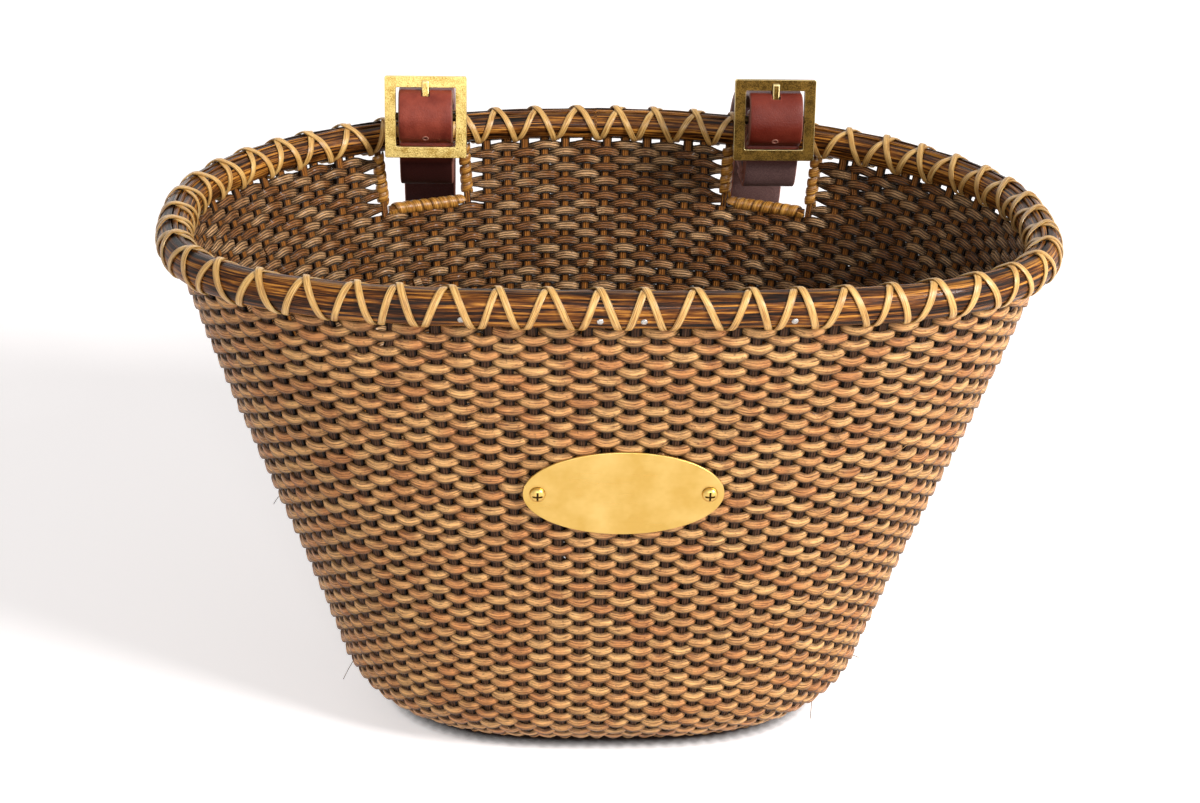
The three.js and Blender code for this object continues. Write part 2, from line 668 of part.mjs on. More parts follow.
// Middle line of the strap, from the folded end under the rim to the tail
function strapLine() {
  const under = (layer) => UNDER_RIM - layer * STRAP_STEP;
  const turnOut = (layer) => new THREE.Vector2(
    -RIM_HALF_THICKNESS - RIM_SKEW * STRAP_WIDTH / 2 - layer * STRAP_STEP * 0.6,
    under(layer * 0.75),
  );
  const below = (layer) => swell(layer).map(([forward, up]) => atBuckle(forward, -up));
  const above = [
    [BULGE, BAR_EDGE_UP * 0.22],
    [BULGE * 0.76, BAR_EDGE_UP * 0.6],
    [BULGE * 0.36, BAR_EDGE_UP * 0.8],
    [-BUCKLE_THICKNESS / 2, BAR_EDGE_UP - UNDER_BAR],
  ].map(([forward, up]) => atBuckle(forward, up));
  const line = new THREE.Path();
  line.moveTo(FOLD_REACH, under(0));
  line.splineThru([
    new THREE.Vector2(0, under(0)),
    turnOut(0),
    ...below(2).slice(3).reverse(),
    atBuckle(-FOLD_RADIUS - STRAP_LAYER_GAP, -BAR_EDGE_UP * 0.3),
    atBuckle(-FOLD_RADIUS, 0),
  ]);
  const foldSteps = 6;
  for (let i = 1; i <= foldSteps; i += 1) {
    const angle = Math.PI * i / foldSteps;
    const point = atBuckle(-FOLD_RADIUS * Math.cos(angle), FOLD_RADIUS * Math.sin(angle));
    line.lineTo(point.x, point.y);
  }
  line.splineThru([
    ...below(1).slice(1),
    turnOut(1),
    new THREE.Vector2(0, under(1)),
    new THREE.Vector2(FOLD_REACH, under(1.15)),
    new THREE.Vector2(LOOP_REACH * 0.46, -LOOP_DROP * 0.47),
    new THREE.Vector2(LOOP_REACH * 0.58, -LOOP_DROP * 0.82),
    new THREE.Vector2(LOOP_REACH * 0.75, -LOOP_DROP),
    new THREE.Vector2(LOOP_REACH * 0.92, -LOOP_DROP * 0.83),
    new THREE.Vector2(LOOP_REACH, -LOOP_DROP * 0.5),
    new THREE.Vector2(LOOP_REACH * 0.96, -LOOP_DROP * 0.17),
    new THREE.Vector2(LOOP_REACH * 0.78, OVER_RIM * 0.3),
    new THREE.Vector2(LOOP_REACH * 0.5, OVER_RIM * 0.95),
    new THREE.Vector2(RIM_HALF_THICKNESS + LASHING_BUILD, OVER_RIM),
    new THREE.Vector2(HOOP_FACE, OVER_RIM),
    new THREE.Vector2(-RIM_HALF_THICKNESS * 0.45, OVER_RIM + STRAP_STEP * 1.3),
    atBuckle(BEHIND_BAR - STRAP_STEP * 0.9, BAR_EDGE_UP - UNDER_BAR),
    ...above.reverse(),
    ...below(0),
    turnOut(2),
    new THREE.Vector2(0, under(2)),
    new THREE.Vector2(TAIL_REACH, under(2)),
  ]);
  return line;
}

// Outline of the strap's thickness along its middle line
function strapShape() {
  const stepsPerSpan = 2;
  const points = strapLine().getPoints(stepsPerSpan);
  const side = (sign) => points.map((point, i) => {
    const before = points[Math.max(i - 1, 0)];
    const after = points[Math.min(i + 1, points.length - 1)];
    const along = after.clone().sub(before).normalize();
    const across = new THREE.Vector2(-along.y, along.x);
    return point.clone().addScaledVector(across, sign * STRAP_THICKNESS / 2);
  });
  return new THREE.Shape([...side(-1), ...side(1).reverse()]);
}

// A block in the buckle's frame, used to cut the strap
function buckleBlock(width, fromForward, toForward, fromUp, toUp) {
  const corners = [[fromForward, fromUp], [toForward, fromUp], [toForward, toUp], [fromForward, toUp]];
  return drawnSideways(new THREE.Shape(corners.map(([forward, up]) => atBuckle(forward, up))), width);
}

function strap(sideName) {
  const slotWidth = PRONG_WIDTH + 4 * FIT;
  const foldOuter = FOLD_RADIUS + STRAP_THICKNESS / 2 + FIT / 2;
  const eyeSlot = buckleBlock(slotWidth, -foldOuter, foldOuter, -PRONG_EYE_RADIUS - 3 * FIT, foldOuter);
  const prongSlot = buckleBlock(
    slotWidth, -BUCKLE_THICKNESS, BULGE + STRAP_THICKNESS, BAR_EDGE_UP * 0.5, BAR_EDGE_UP,
  );
  const rivetHole = rod(RIVET_RADIUS + FIT, UNDER_RIM - 2 * STRAP_STEP, UNDER_RIM + STRAP_STEP)
    .translate(0, RIVET_REACH, 0);
  const rearHole = rod(STRAP_HOLE_RADIUS, -STRAP_STEP * 2, STRAP_STEP * 2).rotateX(Math.PI / 2)
    .translate(0, LOOP_REACH, -LOOP_DROP / 2);
  const body = drawnSideways(strapShape(), STRAP_WIDTH);
  return named(`strap_${sideName}`, cut(body, [eyeSlot, prongSlot, rivetHole, rearHole]), LEATHER);
}

function rivet(sideName) {
  const top = UNDER_RIM + STRAP_THICKNESS / 2 + FIT;
  const bottom = UNDER_RIM - 1.2 * STRAP_STEP - STRAP_THICKNESS / 2 - FIT;
  const profile = [
    new THREE.Vector2(0, bottom - RIVET_HEAD_HEIGHT),
    new THREE.Vector2(RIVET_HEAD_RADIUS, bottom - RIVET_HEAD_HEIGHT / 2),
    new THREE.Vector2(RIVET_HEAD_RADIUS, bottom),
    new THREE.Vector2(RIVET_RADIUS, bottom),
    new THREE.Vector2(RIVET_RADIUS, top),
    new THREE.Vector2(RIVET_HEAD_RADIUS, top),
    new THREE.Vector2(RIVET_HEAD_RADIUS, top + RIVET_HEAD_HEIGHT / 2),
    new THREE.Vector2(0, top + RIVET_HEAD_HEIGHT),
  ];
  return named(`strap_rivet_${sideName}`, turned(profile).translate(0, RIVET_REACH, 0), BRASS);
}

function roundedSquare(target, size, radius) {
  const half = size / 2;
  target.moveTo(half - radius, -half);
  target.absarc(half - radius, -half + radius, radius, -Math.PI / 2, 0, false);
  target.absarc(half - radius, half - radius, radius, 0, Math.PI / 2, false);
  target.absarc(-half + radius, half - radius, radius, Math.PI / 2, Math.PI, false);
  target.absarc(-half + radius, -half + radius, radius, Math.PI, 1.5 * Math.PI, false);
  return target;
}

// The buckle lies in its local XZ plane, with the basket's inside towards local -Y
function buckle(sideName) {
  const outline = roundedSquare(new THREE.Shape(), BUCKLE_SIZE, BUCKLE_CORNER);
  outline.holes.push(roundedSquare(new THREE.Path(), BUCKLE_WINDOW, BUCKLE_CORNER / 2));
  const frame = new THREE.ExtrudeGeometry(outline, {
    depth: BUCKLE_THICKNESS, bevelEnabled: false, curveSegments: 2,
  });
  frame.translate(0, 0, -BUCKLE_THICKNESS / 2).rotateX(Math.PI / 2);
  const barLength = (BUCKLE_SIZE + BUCKLE_WINDOW) / 2;
  const bar = new THREE.CylinderGeometry(BAR_RADIUS, BAR_RADIUS, barLength, ROUND_STEPS);
  return named(`buckle_${sideName}`, fuse([frame, bar.rotateZ(Math.PI / 2)]), BRASS);
}

// Prong: an eye on the centre bar and an arm that rests on the top bar
function prong(sideName) {
  const armBack = BUCKLE_THICKNESS / 2 + FIT;
  const armFront = armBack + PRONG_THICKNESS;
  const tip = OUTER_BAR_UP + PRONG_THICKNESS / 2;
  const joinAngle = (forward) => Math.acos(forward / PRONG_EYE_RADIUS);
  const outline = new THREE.Shape();
  outline.moveTo(-armFront, tip - PRONG_THICKNESS / 2);
  outline.absarc(0, 0, PRONG_EYE_RADIUS, Math.PI - joinAngle(armFront), Math.PI + Math.PI, false);
  outline.absarc(0, 0, PRONG_EYE_RADIUS, 0, Math.PI - joinAngle(armBack), false);
  outline.lineTo(-armBack, tip);
  outline.lineTo(-armFront + PRONG_THICKNESS / 3, tip);
  const eye = new THREE.Path();
  eye.absarc(0, 0, BAR_RADIUS + FIT, 0, 2 * Math.PI, true);
  outline.holes.push(eye);
  return named(`prong_${sideName}`, drawnSideways(outline, PRONG_WIDTH, ROUND_STEPS), BRASS);
}

function strapAssembly(sideName, stakes) {
  const group = new THREE.Group();
  group.position.copy(rimPlace(stakes).point);
  group.position.x -= Math.sign(stakes) * STRAP_INSET;
  group.position.y += RIM_SKEW * STRAP_INSET;
  const buckleGroup = new THREE.Group();
  buckleGroup.position.set(0, -BUCKLE_SETBACK, BUCKLE_RISE);
  buckleGroup.rotation.x = -LEAN;
  buckleGroup.add(buckle(sideName), prong(sideName));
  group.add(strap(sideName), rivet(sideName), buckleGroup);
  return group;
}

// Bare oval plate with its screws, washers and nuts
function plateAssembly() {
  const group = new THREE.Group();
  plateMatrix().decompose(group.position, group.quaternion, group.scale);
  const outline = new THREE.Shape();
  outline.absellipse(0, 0, PLATE_WIDTH / 2, PLATE_HEIGHT / 2, 0, 2 * Math.PI, false);
  SCREW_SIDES.forEach(([, side]) => {
    const hole = new THREE.Path();
    hole.absarc(side * SCREW_SPACING / 2, 0, SCREW_RADIUS + FIT, 0, 2 * Math.PI, true);
    outline.holes.push(hole);
  });
  const plateSteps = 20;
  const plate = new THREE.ExtrudeGeometry(outline, {
    depth: PLATE_THICKNESS, bevelEnabled: false, curveSegments: plateSteps,
  });
  group.add(named('name_plate', plate.translate(0, 0, WALL_FACE), BRASS));

  const headFace = WALL_FACE + PLATE_THICKNESS + FIT;
  SCREW_SIDES.forEach(([sideName, side]) => {
    const wallBehind = frontPoint(PLATE_X + side * SCREW_SPACING / 2);
    const washerTop = wallBehind.applyMatrix4(plateMatrix().invert()).z - WALL_FACE - FIT;
    const nutTop = washerTop - WASHER_THICKNESS - FIT;
    const shankEnd = nutTop - NUT_THICKNESS - SCREW_PROUD;
    const screwProfile = [
      new THREE.Vector2(0, shankEnd),
      new THREE.Vector2(SCREW_RADIUS, shankEnd),
      new THREE.Vector2(SCREW_RADIUS, headFace),
      new THREE.Vector2(SCREW_HEAD_RADIUS, headFace),
      new THREE.Vector2(SCREW_HEAD_RADIUS * 0.8, headFace + SCREW_HEAD_HEIGHT * 0.65),
      new THREE.Vector2(0, headFace + SCREW_HEAD_HEIGHT),
    ];
    const ring = (radius, top, thickness, steps) => toGeometry(
      toSolid(new THREE.CylinderGeometry(radius, radius, thickness, steps).rotateX(Math.PI / 2))
        .subtract(toSolid(rod(SCREW_RADIUS + FIT, -thickness, thickness))),
    ).translate(0, 0, top - thickness / 2);
    const hexSides = 6;
    const screw = turned(screwProfile);
    const washer = ring(WASHER_RADIUS, washerTop, WASHER_THICKNESS, ROUND_STEPS);
    const nut = ring(NUT_RADIUS, nutTop, NUT_THICKNESS, hexSides);
    const fasteners = new THREE.Group();
    fasteners.position.x = side * SCREW_SPACING / 2;
    fasteners.add(
      named(`plate_screw_${sideName}`, screw, BRASS),
      named(`plate_washer_${sideName}`, washer, BRASS),
      named(`plate_nut_${sideName}`, nut, BRASS),
    );
    group.add(fasteners);
  });
  return group;
}

const basket = new THREE.Group();
basket.add(
  named('woven_base', wovenBase(), REED),
  named('foot_border', footBorder(), REED),
  named('woven_wall', wovenWall(), REED),
  named('rim_outer_hoop', alongRim(halfRound(1, OUTER_HOOP_THICKNESS, OUTER_HOOP_HEIGHT)), CANE),
  named('rim_inner_hoop', alongRim(halfRound(-1, INNER_HOOP_THICKNESS, INNER_HOOP_HEIGHT)), CANE),
  named('rim_filler', alongRim(fillerSection()), CANE),
  lashing('rim_lashing_right_hand', 1, LASHING_FIRST),
  lashing('rim_lashing_left_hand', -1, LASHING_SECOND),
  windowFrame('left', -WINDOW_STAKES),
  windowFrame('right', WINDOW_STAKES),
  strapAssembly('left', -WINDOW_STAKES),
  strapAssembly('right', WINDOW_STAKES),
  plateAssembly(),
);

export default basket;
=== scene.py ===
import math
from functools import partialmethod

import bmesh
import bpy
import numpy as np
from mathutils import Matrix, Vector


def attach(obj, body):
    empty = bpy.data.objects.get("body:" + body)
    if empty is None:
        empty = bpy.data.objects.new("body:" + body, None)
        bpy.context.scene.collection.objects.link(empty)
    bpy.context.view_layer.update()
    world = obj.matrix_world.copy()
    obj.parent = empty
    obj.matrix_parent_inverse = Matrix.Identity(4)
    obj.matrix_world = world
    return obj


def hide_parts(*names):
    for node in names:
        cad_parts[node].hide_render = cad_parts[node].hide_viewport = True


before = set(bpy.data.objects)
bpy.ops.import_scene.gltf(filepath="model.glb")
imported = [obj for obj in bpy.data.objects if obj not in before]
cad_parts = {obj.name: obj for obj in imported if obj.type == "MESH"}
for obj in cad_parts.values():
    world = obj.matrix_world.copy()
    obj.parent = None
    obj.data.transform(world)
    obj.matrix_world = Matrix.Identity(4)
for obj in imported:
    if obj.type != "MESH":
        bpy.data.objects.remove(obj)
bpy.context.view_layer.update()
MM = 0.001
UP = np.array([0.0, 0.0, 1.0])
SIDEWAYS = np.array([1.0, 0.0, 0.0])
SIDES = (("left", -1.0), ("right", 1.0))
chance = np.random.default_rng(11)

# Driving sizes in millimetres, the same as the part's
FIT = 0.3
RIM_HEIGHT = 225.5
RIM_HALF_WIDTH = 183.0
RIM_FRONT_DEPTH = 107.5
RIM_BACK_DEPTH = 134.0
RIM_WIDEST_Y = -3.0
RIM_FRONT_SQUARENESS = 3.05
RIM_BACK_SQUARENESS = 1.96
FOOT_HALF_WIDTH = 107.5
FOOT_FRONT_DEPTH = 82.0
FOOT_BACK_DEPTH = 84.5
FOOT_FRONT_SQUARENESS = 2.8
FOOT_BACK_SQUARENESS = 2.1
FOOT_RADIUS = 26.0
WALL_BELLY = 0.0135
WALL_THICKNESS = 5.0
BORDER_THICKNESS = 6.4
BASE_THICKNESS = 5.0
STAKE_COUNT = 100
STAKE_THICKNESS = 2.4
OUTER_HOOP_HEIGHT = 15.0
OUTER_HOOP_THICKNESS = 6.0
INNER_HOOP_HEIGHT = 12.0
INNER_HOOP_THICKNESS = 5.0
FILLER_HEIGHT = 2.8
LASHING_THICKNESS = 0.9
LASHING_BUILD = 3.3
WINDOW_STAKES = 8.75
WINDOW_REMOVED_STAKES = 3
WINDOW_WIDTH = 38.0
WINDOW_HEIGHT = 23.5
POST_WIDTH = 3.2
POST_THICKNESS = 2.2
WRAP_THICKNESS = 0.8
STRAP_WIDTH = 25.0
STRAP_THICKNESS = 2.5
STRAP_LAYER_GAP = 0.8
STRAP_RIM_ROOM = 2.0
STRAP_INSET = 3.5
STRAP_HOLE_RADIUS = 1.7
LOOP_REACH = 57.0
LOOP_DROP = 54.0
TAIL_REACH = 8.0
FOLD_REACH = 20.0
BUCKLE_SIZE = 38.0
BUCKLE_WINDOW = 27.6
BUCKLE_THICKNESS = 3.0
BUCKLE_LEAN = math.radians(9.0)
BUCKLE_RISE = 15.0
BAR_RADIUS = 2.0
BAR_ROCK_ROOM = 1.4
PRONG_WIDTH = 3.4
PRONG_THICKNESS = 2.0
PRONG_EYE_RADIUS = 4.2
RIVET_HEAD_RADIUS = 3.5
RIVET_HEAD_HEIGHT = 1.0
RIVET_RADIUS = 1.5
RIVET_REACH = 15.0
PLATE_WIDTH = 82.0
PLATE_HEIGHT = 40.0
PLATE_THICKNESS = 1.2
PLATE_X = 3.0
PLATE_Z = 142.4
SCREW_SPACING = 70.0
SCREW_RADIUS = 1.5
SCREW_HEAD_RADIUS = 3.3
SCREW_HEAD_HEIGHT = 2.2
SCREW_PROUD = 1.5
WASHER_RADIUS = 4.5
WASHER_THICKNESS = 0.8
NUT_RADIUS = 3.2
NUT_HEIGHT = 2.4

# Sizes of the weave that only the looks have, in millimetres
STAKE_WIDTH = 4.8
STAKE_FOOT_WIDTH = 4.5
STAKE_FOOT = 2.0
STAKE_CUT = 1.2
STAKE_HEAD = 18.0
WEAVER_WIDTH = 4.4
WEAVER_NECK = 4.2
WEAVER_INNER_WIDTH = 4.8
WEAVER_THICKNESS = 1.15
WEAVER_KNOT = 3.4
WEAVER_REACH = 1.8
WEAVER_DROOP = 0.75
ROW_PITCH = 3.72
ROW_SLIT = 0.3
PINCH_PITCH = 1.1
TUCK_DEPTH = 0.9
TWINE_WIDTH = 2.5
TWINE_THICKNESS = 1.7
TWINE_PITCH = 3.9
FIRST_TWINED = 3.4
MAT_STRIP = 6.6
MAT_PITCH = 7.0
MAT_STRIP_THICKNESS = 1.5
FIBRE_THICKNESS = 0.3

# Places along a row, in stakes
LAP = 0.4
TUCK_REACH = 0.55
PINCH_REACH = 1.25
STAKE_ASIDE = 0.4
LASHING_SPREAD = 0.13

# Shares and angles of the weave
WALL_RISE = 0.97
STAKE_CROWDING = 0.28
ROW_CROWDING = 0.05
PINCH_WIDTH = 0.6
WEAVER_TILT = -0.2
UNEVEN_REACH = 0.06
UNEVEN_ROW = 0.2
UNEVEN_WIDTH = 0.03
UNEVEN_ROLL = 0.09

# Counts
WEAVER_SAMPLES = 7
WEAVE_GROUPS = 6
ROW_REEDS = 3
BORDER_ROWS = 3
WALL_TWINED_ROWS = 1
LASHING_TURNS = 52
LASHING_STEPS = 40
RIM_STATIONS = 600
POST_TURNS = 5
SILL_TURNS = 8
LOOSE_FIBRES = 16
TURNED_SIDES = 32

# Other sizes that only the looks have, in millimetres
LASHING_CANE_WIDTH = 3.0
SILL_INSET = 2.2
SILL_BARE = 1.2
SILL_BOW = 0.8
STRAP_PUNCH_RADIUS = 0.95
STRAP_PUNCH_DROP = 8.6
NAIL_RADIUS = 1.4
NAIL_DROP = 3.0
NAIL_PLACES = (-62.0, -9.0, 8.0, 66.0)
BROAD_FACE = 15.0

# Sizes that follow
MID_FLOOR = BORDER_THICKNESS / 2 + FIT
FOOT_LENGTH = FOOT_RADIUS * math.pi / 2
HOOP_FACE = STAKE_THICKNESS / 2 + FIT
RIM_TOP = OUTER_HOOP_HEIGHT / 2
STAKE_TOP = RIM_TOP - FILLER_HEIGHT - 2 * FIT
WRAP_OUTER = math.hypot(POST_WIDTH, POST_THICKNESS) / 2 + FIT + WRAP_THICKNESS
POST_OFFSET = WINDOW_WIDTH / 2 + WRAP_OUTER
SILL_DROP = RIM_TOP + WINDOW_HEIGHT + WRAP_OUTER
NOTCH_DROP = SILL_DROP + WRAP_OUTER + FIT
WALL_FACE = WALL_THICKNESS / 2 + FIT
RIM_MIDDLE = (OUTER_HOOP_THICKNESS - INNER_HOOP_THICKNESS) / 2
RIM_HALF_THICKNESS = HOOP_FACE + (OUTER_HOOP_THICKNESS + INNER_HOOP_THICKNESS) / 2
WRAP_CANE = WRAP_THICKNESS * 1.8
SCREW_SLOT_REACH = SCREW_HEAD_RADIUS * 0.62
SCREW_SLOT_HALF = SCREW_RADIUS * 0.28
SCREW_SLOT_FLOOR = SCREW_HEAD_HEIGHT * 0.45


def lerp(low, high, share):
    return low + (high - low) * share


def power(value, exponent):
    return np.sign(value) * np.abs(value) ** exponent


def smooth(value):
    share = np.clip(value, 0.0, 1.0)
    return share * share * (3.0 - 2.0 * share)


def unit(vectors):
    return vectors / np.linalg.norm(vectors, axis=-1, keepdims=True)


def arc(wide, high, start, stop, points):
    """Points of an elliptic arc between two angles"""
    angle = np.linspace(start, stop, points)
    return np.stack([wide * np.cos(angle), high * np.sin(angle)], axis=-1)


def ellipse(width, height, points):
    return arc(width / 2, height / 2, 0.0, math.tau, points + 1)[:-1]


def lengths(line):
    """The length along a line up to each of its points"""
    return np.concatenate([[0.0], np.cumsum(np.linalg.norm(np.diff(line, axis=0), axis=1))])


def round_ring(ring, shares, measured=3):
    """Values at shares of the length round a closed ring, whose first columns are its points"""
    closed = np.concatenate([ring, ring[:1]])
    length = lengths(closed[:, :measured])
    wanted = np.mod(shares, 1.0) * length[-1]
    return np.stack([np.interp(wanted, length, values) for values in closed.T], axis=-1)


# Wall surface: a share of the way round from the middle of the back towards +X,
# and a length up the profile from the middle of the foot's round
def opening(height):
    """How far the wall has opened from the foot's oval, 0, to the rim's, 1"""
    share = height / RIM_HEIGHT
    return share - WALL_BELLY * np.sin(math.tau * share)


def profile(length):
    angle = np.minimum(length, FOOT_LENGTH) / FOOT_RADIUS
    rounded = MID_FLOOR + FOOT_RADIUS * (1.0 - np.cos(angle))
    height = rounded + np.maximum(length - FOOT_LENGTH, 0.0) * WALL_RISE
    inset = FOOT_RADIUS * (1.0 - np.sin(angle))
    return opening(height), inset, height


def length_at(height):
    return FOOT_LENGTH + (height - MID_FLOOR - FOOT_RADIUS) / WALL_RISE


def oval(opened, grown, height, shares):
    angle = math.pi / 2 - shares * math.tau
    front = np.sin(angle) < 0
    depth = np.where(front, lerp(FOOT_FRONT_DEPTH, RIM_FRONT_DEPTH, opened),
                     lerp(FOOT_BACK_DEPTH, RIM_BACK_DEPTH, opened)) + grown
    squareness = np.where(front, lerp(FOOT_FRONT_SQUARENESS, RIM_FRONT_SQUARENESS, opened),
                          lerp(FOOT_BACK_SQUARENESS, RIM_BACK_SQUARENESS, opened))
    half_width = lerp(FOOT_HALF_WIDTH, RIM_HALF_WIDTH, opened) + grown
    x = half_width * power(np.cos(angle), 2.0 / squareness)
    y = RIM_WIDEST_Y * opened + depth * power(np.sin(angle), 2.0 / squareness)
    return np.stack([x, y, np.full_like(x, height)], axis=-1)


GRID_TOP = length_at(RIM_HEIGHT + 8.0)
GRID_LEVELS = 240
GRID_COLUMNS = 1200
FINE = np.arange(4800) / 4800.0
COLUMNS = np.arange(GRID_COLUMNS) / GRID_COLUMNS


def wall_grid():
    levels = []
    for length in np.linspace(0.0, GRID_TOP, GRID_LEVELS):
        opened, inset, height = profile(length)
        # Low down, the stakes crowd together at the sides
        crowding = STAKE_CROWDING * max(0.0, 1.0 - height / RIM_HEIGHT) ** 1.3
        shares = COLUMNS + crowding / (4.0 * math.pi) * np.sin(4.0 * math.pi * COLUMNS)
        levels.append(round_ring(oval(opened, -inset, height, FINE), shares))
    points = np.array(levels)
    along = np.roll(points, -1, axis=1) - np.roll(points, 1, axis=1)
    upwards = np.gradient(points, axis=0)
    return points, unit(np.cross(upwards, along))


GRID_POINTS, GRID_NORMALS = wall_grid()


def on_wall(stakes, length):
    """Points and outward directions on the wall's middle surface"""
    stakes, length = np.broadcast_arrays(stakes, length)
    column = np.mod(stakes / STAKE_COUNT, 1.0) * GRID_COLUMNS
    level = np.clip(length / GRID_TOP, 0.0, 0.99999) * (GRID_LEVELS - 1)
    left, low = np.floor(column).astype(int), np.floor(level).astype(int)
    across, up = (column - left)[:, None], (level - low)[:, None]
    left = left % GRID_COLUMNS
    right = (left + 1) % GRID_COLUMNS
    points, normals = (lerp(lerp(grid[low, left], grid[low, right], across),
                            lerp(grid[low + 1, left], grid[low + 1, right], across), up)
                       for grid in (GRID_POINTS, GRID_NORMALS))
    return points, unit(normals)


RIM_RING = oval(1.0, 0.0, RIM_HEIGHT, FINE)
RIM_LENGTH = np.linalg.norm(RIM_RING - np.roll(RIM_RING, 1, axis=0), axis=1).sum()
STAKE_PITCH = RIM_LENGTH / STAKE_COUNT


def on_rim(stakes):
    """Points, tangents and outward directions on the rim's middle line"""
    stakes = np.atleast_1d(np.asarray(stakes, dtype=float))
    step = 0.05
    behind, point, ahead = (round_ring(RIM_RING, (stakes + apart) / STAKE_COUNT)
                            for apart in (-step, 0.0, step))
    tangent = unit(ahead - behind)
    return point, tangent, np.cross(UP, tangent)


def rim_matrix(stakes):
    point, tangent, out = (value[0] for value in on_rim(stakes))
    return np.array([tangent, out, UP]).T, point


def section(points, squareness):
    """Rounded strip section, from -1 to 1 across and out, anticlockwise"""
    start = math.pi / points
    return power(arc(1.0, 1.0, start, start + math.tau, points + 1)[:-1], 2.0 / squareness)


def reed_section():
    """Flat-oval reed, with a domed outer face and a flat inner one"""
    dome = power(arc(1.0, 1.0, 0.0, math.pi, 7), (0.7, 0.6))
    return np.concatenate([dome, [(-0.88, -0.58), (0.0, -0.66), (0.88, -0.58)]])


REED_SECTION = reed_section()


def linked(name, data):
    thing = bpy.data.objects.new(name, data)
    bpy.context.scene.collection.objects.link(thing)
    return thing


def piece(name, mesh, material, body, slot, *nodes):
    thing = linked(name, mesh)
    mesh.materials.append(material)
    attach(thing, body)
    if nodes:
        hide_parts(*nodes)
    return thing


class Sheaf:
    """Strands gathered into one mesh, where each point knows its place on its strand"""

    def __init__(self):
        self.points, self.faces, self.fibre, self.tone, self.lift = [], [], [], [], []
        self.count = 0

    def skin(self, rings, along, shape, tone, lift, closed=False):
        """A skin over rings, whose points have a place along, across and out of the strand"""
        stations, sides = rings.shape[:2]
        index = self.count + np.arange(stations * sides).reshape(stations, sides)
        here = index if closed else index[:-1]
        following = np.roll(index, -1, axis=0) if closed else index[1:]
        beside = [np.roll(following, -1, axis=1), np.roll(here, -1, axis=1)]
        self.faces += np.stack([here, following, *beside], axis=-1).reshape(-1, 4).tolist()
        if not closed:
            self.faces += [index[0].tolist(), index[-1][::-1].tolist()]
        fibre = np.stack(np.broadcast_arrays(along[:, None], shape[:, 0], shape[:, 1]), axis=-1)
        self.points.append(rings.reshape(-1, 3))
        self.fibre.append(fibre.reshape(-1, 3))
        self.tone.append(np.full(stations * sides, tone))
        self.lift.append(np.repeat(np.broadcast_to(lift, stations), sides))
        self.count += stations * sides

    def strand(self, path, out, width, thickness, tone, lift=0.0, shape=section(8, 3.0), closed=False,
               roll=0.0):
        if closed:
            tangent = unit(np.roll(path, -1, axis=0) - np.roll(path, 1, axis=0))
        else:
            tangent = unit(np.gradient(path, axis=0))
        across = unit(np.cross(tangent, out))
        outward = np.cross(across, tangent)
        turn = np.broadcast_to(roll, len(path))[:, None]
        across, outward = (across * np.cos(turn) + outward * np.sin(turn),
                           outward * np.cos(turn) - across * np.sin(turn))
        wide, thick = (np.broadcast_to(size, len(path))[:, None, None] / 2 for size in (width, thickness))
        rings = (path[:, None] + across[:, None] * wide * shape[:, :1]
                 + outward[:, None] * thick * shape[:, 1:])
        self.skin(rings, lengths(path), shape, tone, lift, closed)

    def place(self, name, material, slot, *nodes, body="basket", sharp=60.0):
        mesh = bpy.data.meshes.new(name)
        mesh.from_pydata((np.concatenate(self.points) * MM).tolist(), [], self.faces)
        values = {"fibre": ("FLOAT_VECTOR", "vector", self.fibre), "tone": ("FLOAT", "value", self.tone),
                  "lift": ("FLOAT", "value", self.lift)}
        for label, (kind, field, data) in values.items():
            attribute = mesh.attributes.new(label, kind, "POINT")
            attribute.data.foreach_set(field, np.concatenate(data).astype(np.float32).ravel())
        mesh.shade_smooth()
        mesh.set_sharp_from_angle(angle=math.radians(sharp))
        return piece(name, mesh, material, body, slot, *nodes)


# Materials
def srgb(*channels):
    def linear(value):
        return value / 12.92 if value <= 0.04045 else ((value + 0.055) / 1.055) ** 2.4
    return (*(linear(channel / 255.0) for channel in channels), 1.0)


class Nodes:
    """A node tree, built from short calls"""

    def __init__(self, tree):
        self.tree = tree

    def join(self, value, socket):
        if isinstance(value, Value):
            self.tree.links.new(value.socket, socket)
        else:
            socket.default_value = value

    def node(self, kind, output, inputs, **settings):
        made = self.tree.nodes.new(kind)
        for label, value in settings.items():
            setattr(made, label, value)
        for label, value in inputs.items():
            self.join(value, made.inputs[label])
        return Value(self, made.outputs[output])

    def attribute(self, name, field="Fac"):
        return self.node("ShaderNodeAttribute", field, {}, attribute_name=name)

    def place(self):
        return self.node("ShaderNodeTexCoord", "Object", {})

    def split(self, vector):
        first = self.node("ShaderNodeSeparateXYZ", 0, {0: vector})
        return [Value(self, socket) for socket in first.socket.node.outputs]

    def vector(self, x, y, z):
        return self.node("ShaderNodeCombineXYZ", 0, {0: x, 1: y, 2: z})

    def noise(self, vector, scale=1.0, detail=3.0, roughness=0.55):
        return self.node("ShaderNodeTexNoise", "Fac", {"Vector": vector, "Scale": scale, "Detail": detail,
                                                       "Roughness": roughness})

    def ray(self, kind):
        return self.node("ShaderNodeLightPath", f"Is {kind} Ray", {})

    def seen(self):
        """1 where the camera looks, directly or in a mirror, and 0 for the light on other things"""
        return self.ray("Camera").most(self.ray("Glossy").most(self.ray("Transmission")))


